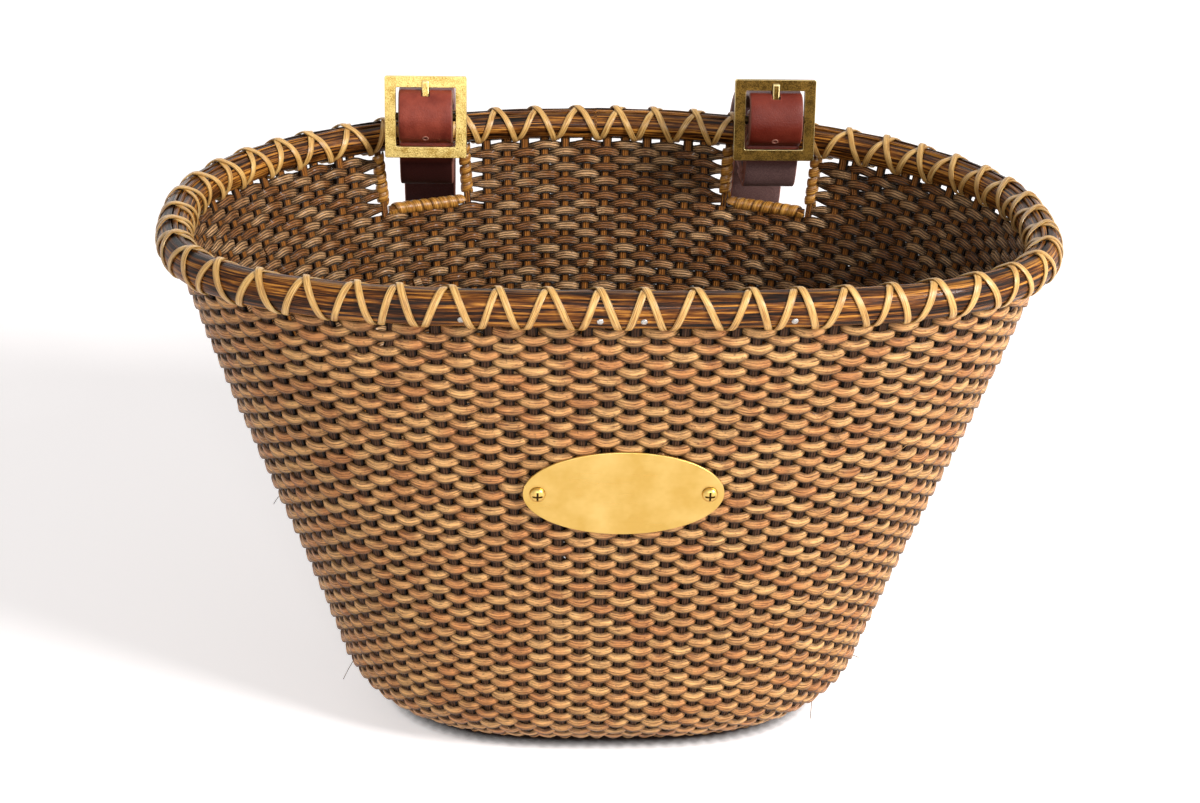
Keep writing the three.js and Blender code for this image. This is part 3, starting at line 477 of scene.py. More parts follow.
class Value:
    """What a socket gives, with arithmetic and mixing that make further nodes"""

    def __init__(self, nodes, socket):
        self.nodes, self.socket = nodes, socket

    def worked(self, operation, *others):
        return self.nodes.node("ShaderNodeMath", 0, dict(enumerate((self, *others))), operation=operation)

    __add__ = partialmethod(worked, "ADD")
    __sub__ = partialmethod(worked, "SUBTRACT")
    __mul__ = partialmethod(worked, "MULTIPLY")
    __abs__ = partialmethod(worked, "ABSOLUTE")
    most = partialmethod(worked, "MAXIMUM")
    sine = partialmethod(worked, "SINE")

    def spread(self, low, high, to_low=0.0, to_high=1.0):
        return self.nodes.node("ShaderNodeMapRange", 0, {"Value": self, "From Min": low, "From Max": high,
                                                         "To Min": to_low, "To Max": to_high})

    def blend(self, first, second):
        """From the first colour to the second, by this share"""
        return self.nodes.node("ShaderNodeMix", 2, {0: self, 6: first, 7: second}, data_type="RGBA")

    def darkened(self, shade):
        """This colour times a grey"""
        grey = self.nodes.vector(shade, shade, shade)
        return self.nodes.node("ShaderNodeMix", 2, {0: 1.0, 6: self, 7: grey}, data_type="RGBA",
                               blend_type="MULTIPLY")

    def ramp(self, *stops):
        made = self.nodes.node("ShaderNodeValToRGB", 0, {0: self})
        elements = made.socket.node.color_ramp.elements
        while len(elements) < len(stops):
            elements.new(0.5)
        for element, (place, colour) in zip(elements, stops):
            element.position = place
            element.color = colour
        return made


class Finish(Nodes):
    """A material about one principled surface"""

    def __init__(self, name, **constants):
        self.material = bpy.data.materials.new(name)
        self.material.use_nodes = True
        super().__init__(self.material.node_tree)
        for label, value in constants.items():
            self.set(label.replace("_", " "), value)

    def set(self, label, value):
        self.join(value, self.tree.nodes["Principled BSDF"].inputs[label])

    def strand(self):
        """The place along, across and out of a strand, and the strand's tone"""
        return *self.split(self.attribute("fibre", "Vector")), self.attribute("tone")

    def done(self, colour, roughness, height, strength, distance):
        self.set("Base Color", colour)
        self.set("Roughness", roughness)
        self.set("Normal", self.node("ShaderNodeBump", 0, {"Strength": strength, "Distance": distance,
                                                           "Height": height}))
        return self.material


# In each strand's finish the grain runs along the strand, shifted by its tone from strand to strand
def reed_finish(name, light, warm, dark, inside, painted_sheen):
    finish = Finish(name, Specular_IOR_Level=0.22, Coat_Weight=0.1, Coat_Roughness=0.18)
    along, across, out, tone = finish.strand()
    fine = finish.noise(finish.vector(along * 0.07, across * 1.7, tone * 731.0), 1.6, 5.0, 0.7)
    flecks = finish.noise(finish.vector(along * 0.4, across * 1.3, tone * 417.0), 1.6, 3.0, 0.6)
    broad = finish.noise(finish.vector(along * 0.05, tone * 97.0, 3.0), 1.0, 2.0)
    ridges = (across * 12.0 + fine * 9.0).sine()
    face = out.spread(-0.3, 0.2)
    outer = broad.spread(0.4, 0.62).blend(light, warm)
    outer = fine.spread(0.46, 0.64, 0.0, 0.8).blend(outer, dark)
    outer = ridges.spread(0.3, 1.0, 0.0, 0.3).blend(outer, dark)
    # Painted sheen: lighter patches on the inner face stand in for its glossy highlights
    inner = broad.spread(0.45, 0.6).blend(inside, painted_sheen)
    inner = ridges.spread(-0.4, 0.9, 0.0, 0.85).blend(inner, srgb(34, 19, 9))
    colour = flecks.spread(0.58, 0.7, 0.0, 0.65).blend(face.blend(inner, outer), dark)
    # Painted shade: dark where the reed dips behind a stake, and along both edges
    dip = finish.attribute("lift") * face.spread(0.0, 1.0, -1.0, 1.0)
    shade = dip.spread(-1.0, 0.3, 0.12, 1.0) * across.spread(-1.0, -0.1, 0.02, 1.0)
    colour = colour.darkened(shade * across.spread(0.4, 1.0, 1.0, 0.22))
    roughness = fine.spread(0.35, 0.65, 0.24, 0.48) + face.spread(0.0, 1.0, -0.08, 0.04)
    relief = fine + ridges * face.spread(0.0, 1.0, -0.3, -0.08) + flecks * 0.4
    return finish.done(colour, roughness, relief, 0.8, 0.001)


def stake_finish():
    finish = Finish("stake_reed", Specular_IOR_Level=0.15)
    along, across, out, tone = finish.strand()
    fine = finish.noise(finish.vector(along * 0.05, across * 3.2, tone * 731.0), 1.5, 4.0, 0.6)
    ridges = (across * 13.0).sine()
    face = out.spread(-0.2, 0.3)
    # The dark streaks are grain; the dark stripes between the ridges are painted shade in the grooves
    grain_and_groove_shade = face.blend(srgb(86, 48, 18), srgb(12, 6, 3))
    # The outer face is darker than the inner one, partly as painted shade where the stakes show between the
    # reeds
    colour = face.blend(srgb(160, 100, 40), srgb(88, 58, 38))
    colour = fine.spread(0.42, 0.68, 0.0, 0.75).blend(colour, grain_and_groove_shade)
    colour = ridges.spread(-0.2, 1.0, 0.0, 0.7).blend(colour, grain_and_groove_shade)
    # Painted shade: the stake's edges go nearly black, as the shaded gaps beside the reeds
    colour = colour.darkened(abs(across).spread(0.4, 0.75, 1.0, 0.05))
    return finish.done(colour, fine.spread(0.35, 0.65, 0.34, 0.58), fine - ridges * 0.45, 0.6, 0.0007)


def rim_finish():
    finish = Finish("rim_cane", Specular_IOR_Level=0.12, Coat_Weight=0.06, Coat_Roughness=0.08)
    along, across, _, tone = finish.strand()
    fine = finish.noise(finish.vector(along * 0.014, across * 4.2, tone * 731.0), 2.0, 5.0, 0.66)
    broad = finish.noise(finish.vector(along * 0.011, across * 1.2, tone), 1.0, 3.0)
    colour = (fine * 0.82 + broad * 0.18).ramp((0.4, srgb(12, 6, 2)), (0.46, srgb(52, 26, 8)),
                                               (0.52, srgb(112, 62, 20)), (0.61, srgb(204, 138, 58)))
    # Painted shade along the hoop's top and bottom edges
    colour = colour.darkened(abs(across).spread(0.55, 1.0, 1.0, 0.3))
    return finish.done(colour, fine.spread(0.35, 0.65, 0.44, 0.22), fine, 0.55, 0.0008)


def cane_finish(name, light, mid, dark):
    finish = Finish(name, Specular_IOR_Level=0.5)
    along, across, _, tone = finish.strand()
    fine = finish.noise(finish.vector(along * 0.05, across * 2.2, tone * 731.0), 2.0, 4.0, 0.6)
    spots = finish.noise(finish.vector(along * 0.5, across * 1.2, tone * 317.0), 1.3, 2.0)
    colour = fine.ramp((0.34, dark), (0.5, mid), (0.62, light))
    colour = spots.spread(0.6, 0.78, 0.0, 0.6).blend(colour, dark)
    # Painted shade along both edges of the cane
    colour = colour.darkened(abs(across).spread(0.55, 1.0, 1.0, 0.55))
    return finish.done(colour, fine.spread(0.3, 0.7, 0.42, 0.3), fine, 0.3, 0.0005)


def leather_finish():
    finish = Finish("strap_leather", Specular_IOR_Level=0.22)
    _, across, out, tone = finish.strand()
    lift = finish.attribute("lift")
    place = finish.place()
    grain = finish.noise(place, 1500.0, 2.0, 0.6)
    cloud = finish.noise(place, 90.0, 3.0, 0.6)
    grain_side = cloud.spread(0.35, 0.7).blend(srgb(112, 43, 32), srgb(150, 67, 50))
    grain_side = tone.blend(grain_side, srgb(84, 18, 4))
    flesh_side = grain.spread(0.35, 0.7).blend(srgb(86, 61, 59), srgb(108, 81, 77))
    colour = out.spread(-0.35, 0.2).blend(flesh_side, grain_side)
    colour = lift.most(0.0).blend(colour, flesh_side)
    # Painted shadow: below its buckle the left strap, whose lift is negative there, goes nearly black
    colour = (lift * -1.0).most(0.0).blend(colour, srgb(44, 6, 1))
    colour = abs(across).spread(0.945, 0.97).blend(colour, srgb(132, 82, 68))
    roughness = grain.spread(0.3, 0.7, 0.36, 0.54) + abs(lift).spread(0.0, 1.0, 0.0, 0.4)
    return finish.done(colour, roughness, grain, 0.45, 0.0004)


def brass_finish(name, bright, dull, roughness, edge_share):
    finish = Finish(name, Metallic=1.0)
    place = finish.place()
    speckle = finish.noise(place, 1900.0, 2.0, 0.7)
    cloud = finish.noise(place, 160.0, 4.0, 0.65)
    colour = (speckle * 0.55 + cloud * 0.45).spread(0.42, 0.58).blend(dull, bright)
    # Edges painted bright, partly as wear and partly as a painted glint
    colour = (finish.attribute("wear_and_glint") * edge_share).blend(colour, srgb(245, 222, 160))
    uneven = speckle.spread(0.3, 0.7, roughness - 0.08, roughness + 0.1)
    return finish.done(colour, uneven, speckle, 0.12, 0.0003)


def plate_finish():
    finish = Finish("polished_brass", Metallic=1.0)
    place = finish.place()
    x, y, z = finish.split(place)
    brushed = finish.noise(finish.vector(x * 40.0, y * 900.0, z * 900.0), 1.0, 3.0, 0.6)
    cloud = finish.noise(place, 60.0, 3.0, 0.6)
    colour = cloud.spread(0.35, 0.65).blend(srgb(206, 168, 88), srgb(222, 188, 112))
    return finish.done(colour, brushed.spread(0.3, 0.7, 0.26, 0.42), brushed, 0.06, 0.0003)


REED = reed_finish("woven_reed", srgb(244, 186, 118), srgb(216, 146, 86), srgb(80, 36, 14),
                   srgb(154, 100, 55), srgb(216, 168, 118))
TWINE = reed_finish("twined_reed", srgb(220, 172, 114), srgb(190, 132, 84), srgb(88, 52, 28),
                    srgb(104, 70, 42), srgb(160, 128, 94))
STAKES = stake_finish()
RIM = rim_finish()
LASH = cane_finish("lashing_cane", srgb(234, 192, 120), srgb(210, 160, 88), srgb(142, 92, 40))
WRAP = cane_finish("wrap_cane", srgb(214, 158, 76), srgb(172, 114, 44), srgb(84, 48, 16))
LEATHER = leather_finish()
BRIGHT = brass_finish("bright_brass", srgb(238, 210, 132), srgb(178, 142, 68), 0.34, 0.6)
ANTIQUE = brass_finish("antique_brass", srgb(114, 86, 38), srgb(52, 37, 13), 0.36, 0.65)
# Brass painted as dark as shade, for the buckles' bars and the screw slots' floors
SHADE_DARK_BRASS = brass_finish("shade_dark_brass", srgb(70, 54, 30), srgb(38, 28, 16), 0.5, 0.2)
PLATE = plate_finish()
STEEL = brass_finish("nail_steel", srgb(214, 212, 208), srgb(150, 146, 140), 0.3, 0.3)
PALE_LEATHER = Finish("cut_leather", Base_Color=srgb(178, 122, 104), Roughness=0.5).material


# Windows: their posts stand where the rim place is a post's offset from the window's middle
POSTS = {(side, place): sign * (WINDOW_STAKES + turn * POST_OFFSET / STAKE_PITCH)
         for side, sign in SIDES for place, turn in (("inner", -1.0), ("outer", 1.0))}


def wall_near(stakes, height):
    """Close stake counts about one, and the wall's points there at a height"""
    near = np.linspace(stakes - 3.0, stakes + 3.0, 601)
    return near, on_wall(near, length_at(height))[0]


def post_line(stakes):
    """Foot and head of a post's middle line"""
    axes, origin = rim_matrix(stakes)
    drop = NOTCH_DROP - FIT
    local = (wall_near(stakes, RIM_HEIGHT - drop)[1] - origin) @ axes
    foot = np.array([0.0, np.interp(0.0, local[:, 0], local[:, 1]), -drop])
    head = np.array([0.0, 0.0, -RIM_TOP - FIT])
    return axes, origin, foot, head


def post_stakes(stakes, height):
    """The stake count at which a row at this height meets a post"""
    axes, origin, foot, head = post_line(stakes)
    share = (height - RIM_HEIGHT - foot[2]) / (head[2] - foot[2])
    target = origin + axes @ lerp(foot, head, np.clip(share, 0.0, 1.0))
    near, points = wall_near(stakes, height)
    return near[np.argmin(np.linalg.norm(points - target, axis=1))]


# Weave
def plain_rows():
    """Lengths of the rows up the wall, a little closer at the foot and at the rim"""
    share = np.linspace(0.0, 1.0, round((PLAIN_END - PLAIN_START) / ROW_PITCH) + 1)
    crowded = share - ROW_CROWDING * np.sin(math.tau * share) / (math.tau)
    return lerp(PLAIN_START, PLAIN_END, crowded)


PLAIN_START = FIRST_TWINED + (BORDER_ROWS + WALL_TWINED_ROWS) * TWINE_PITCH - ROW_SLIT
PLAIN_END = length_at(RIM_HEIGHT - RIM_TOP - ROW_SLIT - WEAVER_WIDTH / 2)
WANDER = [(turns, chance.uniform(0.0, math.tau), chance.uniform(0.3, 0.6) / turns ** 0.5)
          for turns in (2, 3, 5, 8)]


def wander(stakes, length):
    """How far a row strays up or down, least at the foot and the rim"""
    waves = [size * np.sin(math.tau * turns * stakes / STAKE_COUNT + phase + length / 45.0)
             for turns, phase, size in WANDER]
    return sum(waves) * np.clip(np.minimum(length - PLAIN_START, PLAIN_END - length) / 25.0, 0.0, 1.0)


def weaver(sheaf, start, stop, row, hand, start_pinch=None, stop_pinch=None):
    """One strand of a row, from stake count to stake count, over one stake and under the next"""
    u = np.linspace(start, stop, max(4, round((stop - start) * WEAVER_SAMPLES)) + 1)
    swing = hand * np.sin(math.pi * u)
    crest = np.floor(u).astype(int) - math.floor(start)
    rise = np.sin(math.pi * (u - np.floor(u))) ** 2

    def uneven(size):
        return chance.normal(0.0, size, crest.max() + 1)[crest]

    depth = WEAVER_REACH * (1.0 + uneven(UNEVEN_REACH)) * power(swing, 0.75)
    length = row + wander(u, row) + uneven(UNEVEN_ROW) * rise - WEAVER_DROOP * swing
    widest = np.where(swing > 0.0, WEAVER_WIDTH, WEAVER_INNER_WIDTH) * chance.normal(1.0, UNEVEN_WIDTH)
    width = lerp(WEAVER_NECK, widest, np.abs(swing))
    thickness = lerp(WEAVER_KNOT, WEAVER_THICKNESS, np.abs(swing))
    for pinch, place in ((start_pinch, u - start), (stop_pinch, stop - u)):
        if pinch is None:
            depth = depth - TUCK_DEPTH * (1.0 - smooth(place / TUCK_REACH))
        else:
            hold = 1.0 - smooth(place / PINCH_REACH)
            length = lerp(length, pinch, hold)
            depth = depth * smooth(place / 0.5) * lerp(0.55, 1.0, smooth(place / (2.0 * PINCH_REACH)))
            width = width * lerp(1.0, PINCH_WIDTH, hold)
            thickness = lerp(thickness, WEAVER_THICKNESS, hold)
    points, normals = on_wall(u, length)
    roll = WEAVER_TILT * swing + uneven(UNEVEN_ROLL) * rise
    sheaf.strand(points + normals * depth[:, None], normals, width, thickness, chance.random(),
                 np.clip(depth / WEAVER_REACH, -1.0, 1.0), REED_SECTION, roll=roll)


def inner_stakes(hand):
    """The stakes that this row passes on their inside, where its reeds lap"""
    stakes = np.arange(STAKE_COUNT) + 0.5
    return stakes[hand * np.sin(math.pi * stakes) < 0]


def full_row(sheaf, row, hand):
    breaks = np.sort(chance.choice(inner_stakes(hand), ROW_REEDS, replace=False))
    for first, second in zip(breaks, np.append(breaks[1:], breaks[0] + STAKE_COUNT)):
        weaver(sheaf, first - LAP, second + LAP, row, hand)


def window_row(sheaf, row, hand, pinch):
    """A row in three parts, between the windows and round the front, pinched in pairs at the posts"""
    level = profile(pinch)[2]
    meets = {post: post_stakes(stakes, level) for post, stakes in POSTS.items()}
    held = pinch + PINCH_PITCH * (row - pinch) / ROW_PITCH
    weaver(sheaf, meets["left", "inner"], meets["right", "inner"], row, hand, held, held)
    middle = chance.choice(inner_stakes(hand)[20:30])
    weaver(sheaf, meets["right", "outer"], middle + LAP, row, hand, held, None)
    weaver(sheaf, middle - LAP, meets["left", "outer"] + STAKE_COUNT, row, hand, None, held)


def twined_row(sheaf, number):
    row = FIRST_TWINED + number * TWINE_PITCH
    reach = (STAKE_THICKNESS + TWINE_THICKNESS) / 2
    u = np.arange(STAKE_COUNT * WEAVER_SAMPLES) / WEAVER_SAMPLES
    for phase in (0.0, math.pi):
        swing = np.sin(math.pi * u + phase)
        points, normals = on_wall(u, row + 0.3 * TWINE_WIDTH * np.cos(math.pi * u + phase))
        sheaf.strand(points + normals * reach * swing[:, None], normals, TWINE_WIDTH, TWINE_THICKNESS,
                     chance.random(), swing, closed=True)


def weave():
    rows = plain_rows()
    notch = length_at(RIM_HEIGHT - NOTCH_DROP)
    sheaves = [Sheaf() for _ in range(WEAVE_GROUPS)]
    for number in range(WALL_TWINED_ROWS):
        twined_row(sheaves[0], BORDER_ROWS + number)
    # Beside the windows the rows are pinched in pairs, counted from the rim down
    pairs = (len(rows) - 1 - np.arange(len(rows))) // 2
    for k, row in enumerate(rows):
        sheaf = sheaves[k * WEAVE_GROUPS // len(rows)]
        hand = 1.0 if k % 2 else -1.0
        if row > notch:
            window_row(sheaf, row, hand, rows[(pairs == pairs[k]) & (rows > notch)].mean())
        else:
            full_row(sheaf, row, hand)
    for number, sheaf in enumerate(sheaves, 1):
        sheaf.place(f"wall_weave_{number}", REED, "woven_reed", "woven_wall")
    border = Sheaf()
    for number in range(BORDER_ROWS):
        twined_row(border, number)
    border.place("foot_twining", TWINE, "woven_reed", "foot_border")


UNEVEN_TURNS = np.arange(LASHING_TURNS) + chance.uniform(-0.1, 0.1, LASHING_TURNS)
LASHING_NODES = UNEVEN_TURNS * STAKE_COUNT / LASHING_TURNS


def wall_stakes():
    sheaf = Sheaf()
    for number in range(STAKE_COUNT):
        place = number + 0.5
        cut = abs(min(place, STAKE_COUNT - place) - WINDOW_STAKES) < WINDOW_REMOVED_STAKES
        end = STAKE_CUT - NOTCH_DROP if cut else STAKE_TOP
        length = np.linspace(STAKE_FOOT, length_at(RIM_HEIGHT + end), 64)
        # The head of a stake stands aside where a lashing goes through
        apart = np.mod(place - LASHING_NODES + STAKE_COUNT / 2, STAKE_COUNT) - STAKE_COUNT / 2
        nearest = apart[np.argmin(np.abs(apart))]
        head = smooth((length - PLAIN_END) / STAKE_HEAD + 1.0)
        aside = math.copysign(max(0.0, STAKE_ASIDE - abs(nearest)), nearest) * head
        lean = 0.06 * np.sin(length / 50.0 + chance.uniform(0.0, 6.3))
        points, normals = on_wall(place + aside + lean, length)
        width = lerp(STAKE_FOOT_WIDTH, STAKE_WIDTH, smooth(length / 90.0)) * chance.normal(1.0, 0.04)
        sheaf.strand(points, normals, width, STAKE_THICKNESS, chance.random(), 0.0, section(12, 2.4))
    sheaf.place("wall_stakes", STAKES, "woven_reed", "woven_wall")


def base_mat():
    """Strips plaited both ways, cut to the oval inside the foot border"""
    sheaf = Sheaf()
    opened, inset, _ = profile(FOOT_RADIUS * math.radians(9.0))
    edge = oval(opened, -inset, 0.0, FINE)
    low, high = edge.min(axis=0), edge.max(axis=0)
    counts = ((high - low) / MAT_PITCH).astype(int)
    first = (low + high - (counts - 1) * MAT_PITCH) / 2
    middle = BASE_THICKNESS / 2
    reach = middle - MAT_STRIP_THICKNESS / 2 - 0.05
    for axis, other in ((0, 1), (1, 0)):
        for number in range(counts[other]):
            place = first[other] + number * MAT_PITCH
            near = edge[np.abs(edge[:, other] - place) < 1.0, axis]
            line = np.linspace(near.min(), near.max(), max(8, int(np.ptp(near) / 1.4)))
            wave = np.cos(math.pi * ((line - first[axis]) / MAT_PITCH + number + axis + 1))
            path = np.zeros((len(line), 3))
            path[:, axis] = line
            path[:, other] = place
            path[:, 2] = middle + reach * power(wave, 0.7)
            sheaf.strand(path, UP, MAT_STRIP, MAT_STRIP_THICKNESS, chance.random(), wave, section(10, 4.5))
    sheaf.place("base_mat", REED, "woven_reed", "woven_base")


# Rim
def hoop(node, outline, tone):
    stakes = np.arange(RIM_STATIONS) * STAKE_COUNT / RIM_STATIONS
    point, _, out = on_rim(stakes)
    ripple = 0.12 * np.sin(stakes * 1.7 + tone * 9.0) + 0.1 * np.sin(stakes * 0.61 + tone)
    rings = point[:, None] + out[:, None] * outline[:, :1] + UP * (outline[:, 1:] + ripple[:, None, None])
    shape = np.stack([np.linspace(-1.0, 1.0, len(outline)), np.ones(len(outline))], axis=-1)
    sheaf = Sheaf()
    sheaf.skin(rings, stakes * STAKE_PITCH, shape, tone, 0.0, closed=True)
    sheaf.place(f"{node}_grain", RIM, "rim_cane", node, sharp=50.0)


def half_round(side, thickness, height):
    outline = (arc(thickness, height / 2, -math.pi / 2, math.pi / 2, 17) + (HOOP_FACE, 0.0)) * (side, 1.0)
    # Rings are skinned along the rim, so the outline runs clockwise seen along the tangent
    return outline if side < 0 else outline[::-1]


def rim():
    hoop("rim_outer_hoop", half_round(1.0, OUTER_HOOP_THICKNESS, OUTER_HOOP_HEIGHT), 0.17)
    hoop("rim_inner_hoop", half_round(-1.0, INNER_HOOP_THICKNESS, INNER_HOOP_HEIGHT), 0.63)
    half = np.array([STAKE_THICKNESS, FILLER_HEIGHT]) / 2
    hoop("rim_filler", section(12, 4.0)[::-1] * half + (0.0, STAKE_TOP + FIT + half[1]), 0.38)


def rim_girth():
    """The way round the rim's section that a taut lashing takes, from the bottom up the outside"""
    angle = np.linspace(0.0, math.tau, 721)[:-1]
    facing = np.stack([np.cos(angle), np.sin(angle)], axis=-1)
    outside = facing[:, 0] > 0
    thick = np.where(outside, OUTER_HOOP_THICKNESS, INNER_HOOP_THICKNESS)
    high = np.where(outside, OUTER_HOOP_HEIGHT, INNER_HOOP_HEIGHT) / 2
    hull = np.stack([np.where(outside, HOOP_FACE, -HOOP_FACE), np.zeros(len(angle))], axis=-1)
    hull = hull + np.stack([thick, high], axis=-1) * facing
    support = (facing @ hull.T).max(axis=1)[:, None]
    turn = np.gradient(support, angle[1] - angle[0], axis=0)
    points = support * facing + turn * facing[:, ::-1] * (-1.0, 1.0)
    return np.roll(np.concatenate([points, facing], axis=1), -np.argmin(points[:, 1]), axis=0)


GIRTH = rim_girth()


def lashing(node, hand):
    """One cane from a node under the rim over an apex and on to the next node, all the way round"""
    nodes = np.append(LASHING_NODES, LASHING_NODES[0] + STAKE_COUNT)[:, None]
    apexes = (nodes[:-1] + nodes[1:]) / 2 + chance.uniform(-0.12, 0.12, LASHING_TURNS)[:, None]
    order = int(hand)
    first, last = (nodes[:-1], nodes[1:])[::order]
    turn = np.arange(LASHING_STEPS) / LASHING_STEPS
    leg = np.mod(turn * 2.0, 1.0)
    climb = lerp(first + hand * LASHING_SPREAD, apexes, leg ** 1.25)
    descent = lerp(apexes, last + hand * LASHING_SPREAD, 1.0 - (1.0 - leg) ** 1.25)
    places = np.where(turn < 0.5, climb, descent)[::order].ravel()
    turns = np.tile(turn, LASHING_TURNS)
    # The right-hand lashing passes over the left-hand one, on top and at the inner face's foot
    over = np.exp(-((turns - 0.5) / 0.09) ** 2) + np.exp(-((turns - 0.86) / 0.05) ** 2)
    build = LASHING_THICKNESS * (0.55 + over * (hand > 0))
    x, z, facing_x, facing_z = round_ring(GIRTH, turns, 2).T[:, :, None]
    point, _, out = on_rim(places)
    normal = out * facing_x + UP * facing_z
    path = point + out * x + UP * z + normal * build[:, None]
    width = LASHING_CANE_WIDTH * (1.0 + 0.05 * np.sin(places * 0.9))
    sheaf = Sheaf()
    sheaf.strand(path, normal, width, LASHING_THICKNESS, 0.3 + 0.2 * hand, 0.0, section(8, 2.6), closed=True)
    sheaf.place(node.removesuffix("_hand"), LASH, "lashing_cane", node)


# Window frames
def wrapped(node, start, end, side, depth, turns):
    """A cane strip wound close about a straight stick"""
    turn = np.linspace(0.0, turns, turns * 20 + 1)
    angle = math.tau * turn
    out = np.outer(np.cos(angle), side) + np.outer(np.sin(angle), depth)
    uneven = 0.25 * np.sin(angle * 0.23 + 1.0)
    run = end - start
    middle = start + np.outer(turn / turns, run) + np.outer(uneven, unit(run))
    path = middle + out * (WRAP_OUTER - WRAP_CANE / 2)
    pitch = np.linalg.norm(run) / turns
    sheaf = Sheaf()
    sheaf.strand(path, out, pitch * 0.98, WRAP_CANE, chance.random(), 0.0, section(12, 2.0))
    sheaf.place(f"{node}_wrap_cane", WRAP, "lashing_cane", f"{node}_wrap")


def stick(node, path, out):
    sheaf = Sheaf()
    sheaf.strand(path, out, POST_WIDTH, POST_THICKNESS, chance.random(), 0.0, section(12, 3.5))
    sheaf.place(f"{node}_stick", RIM, "rim_cane", node)


def window_post(side, place):
    """One post, and the place where the sill meets it"""
    node = f"window_{side}_{place}_post"
    axes, origin, foot, head = post_line(POSTS[side, place])
    top = UP * STAKE_TOP
    local = np.concatenate([np.linspace(foot, head, 12), np.linspace(head, top, 4)[1:]])
    stick(node, origin + local @ axes.T, axes[:, 1])

    def up_post(share):
        return origin + axes @ lerp(foot, head, share)

    post_height = NOTCH_DROP - RIM_TOP
    wrap_foot = NOTCH_DROP - SILL_DROP + WRAP_OUTER + FIT
    wrapped(node, up_post(wrap_foot / post_height), up_post(0.96), axes[:, 0], axes[:, 1], POST_TURNS)
    return up_post((NOTCH_DROP - SILL_DROP) / post_height)


def window_frames():
    for side, sign in SIDES:
        inner, outer = (window_post(side, place) for place in ("inner", "outer"))
        node = f"window_{side}_sill"
        run = unit(outer - inner)
        first, last = inner + run * SILL_INSET, outer - run * SILL_INSET
        out = unit(np.cross(UP, run)) * -sign
        bow = SILL_BOW * np.sin(np.linspace(0.0, math.pi, 20))
        stick(node, np.linspace(first, last, 20) + np.outer(bow, out), out)
        wrapped(node, first + run * SILL_BARE, last - run * SILL_BARE, out, UP, SILL_TURNS)


# Straps: the plane of depth towards the handlebar and height above the rim's middle
STRAP_STEP = STRAP_THICKNESS + STRAP_LAYER_GAP
FOLD_RADIUS = BAR_RADIUS + FIT + STRAP_THICKNESS / 2
OUTER_BAR_UP = (BUCKLE_SIZE + BUCKLE_WINDOW) / 4
BAR_EDGE_UP = BUCKLE_WINDOW / 2
BAR_CLEAR = BAR_ROCK_ROOM + STRAP_THICKNESS / 2
BEHIND_BAR = -BUCKLE_THICKNESS / 2 - BAR_CLEAR
BULGE = FOLD_RADIUS + STRAP_STEP + STRAP_LAYER_GAP
UNDER_BAR = STRAP_THICKNESS / 2 + STRAP_LAYER_GAP
OVER_RIM = RIM_TOP + LASHING_BUILD + STRAP_RIM_ROOM + STRAP_THICKNESS / 2
UNDER_RIM = -OVER_RIM
CROSSING = on_rim(WINDOW_STAKES)[1][0]
RIM_SKEW = abs(CROSSING[1] / CROSSING[0])
FOLD_DEPTH = BUCKLE_THICKNESS / 2 + 0.6 * BAR_CLEAR + 1.7 * STRAP_STEP + STRAP_THICKNESS / 2
BUCKLE_SETBACK = (RIM_HALF_THICKNESS - RIM_MIDDLE + LASHING_BUILD + STRAP_RIM_ROOM
                  + RIM_SKEW * STRAP_WIDTH / 2 + FOLD_DEPTH * math.cos(BUCKLE_LEAN)
                  - 0.6 * BAR_EDGE_UP * math.sin(BUCKLE_LEAN))


def at_buckle(forward, up):
    return (-BUCKLE_SETBACK - forward * math.cos(BUCKLE_LEAN) + up * math.sin(BUCKLE_LEAN),
            BUCKLE_RISE + forward * math.sin(BUCKLE_LEAN) + up * math.cos(BUCKLE_LEAN))


def below_bar(layer):
    """The way of a strap layer from the front of the centre bar down behind the buckle's lower bar"""
    back = layer * STRAP_STEP
    return [at_buckle(forward, -up) for forward, up in (
        (BULGE - back, BAR_EDGE_UP * 0.22),
        (BULGE * 0.6 - back * 0.5, BAR_EDGE_UP * 0.61 - back * 0.86),
        (-back * 0.6, BAR_EDGE_UP * 0.78 - back * 0.8),
        (-BUCKLE_THICKNESS / 2 - BAR_CLEAR * 0.6 - back * 0.85, BAR_EDGE_UP - BAR_CLEAR * 0.8 - back * 0.5),
        (BEHIND_BAR - back, OUTER_BAR_UP - back * 0.2))]


def spline(points, steps=8):
    """Smooth line through points, with even steps between them"""
    points = np.array(points)
    padded = np.concatenate([points[:1], points, points[-1:]])
    line = [points[:1]]
    t = (np.arange(1, steps + 1) / steps)[:, None]
    for p0, p1, p2, p3 in zip(padded, padded[1:], padded[2:], padded[3:]):
        v0, v1 = (p2 - p0) / 2, (p3 - p1) / 2
        cubic = 2 * p1 - 2 * p2 + v0 + v1
        squared = -3 * p1 + 3 * p2 - 2 * v0 - v1
        line.append(cubic * t ** 3 + squared * t ** 2 + v0 * t + p1)
    return np.concatenate(line)


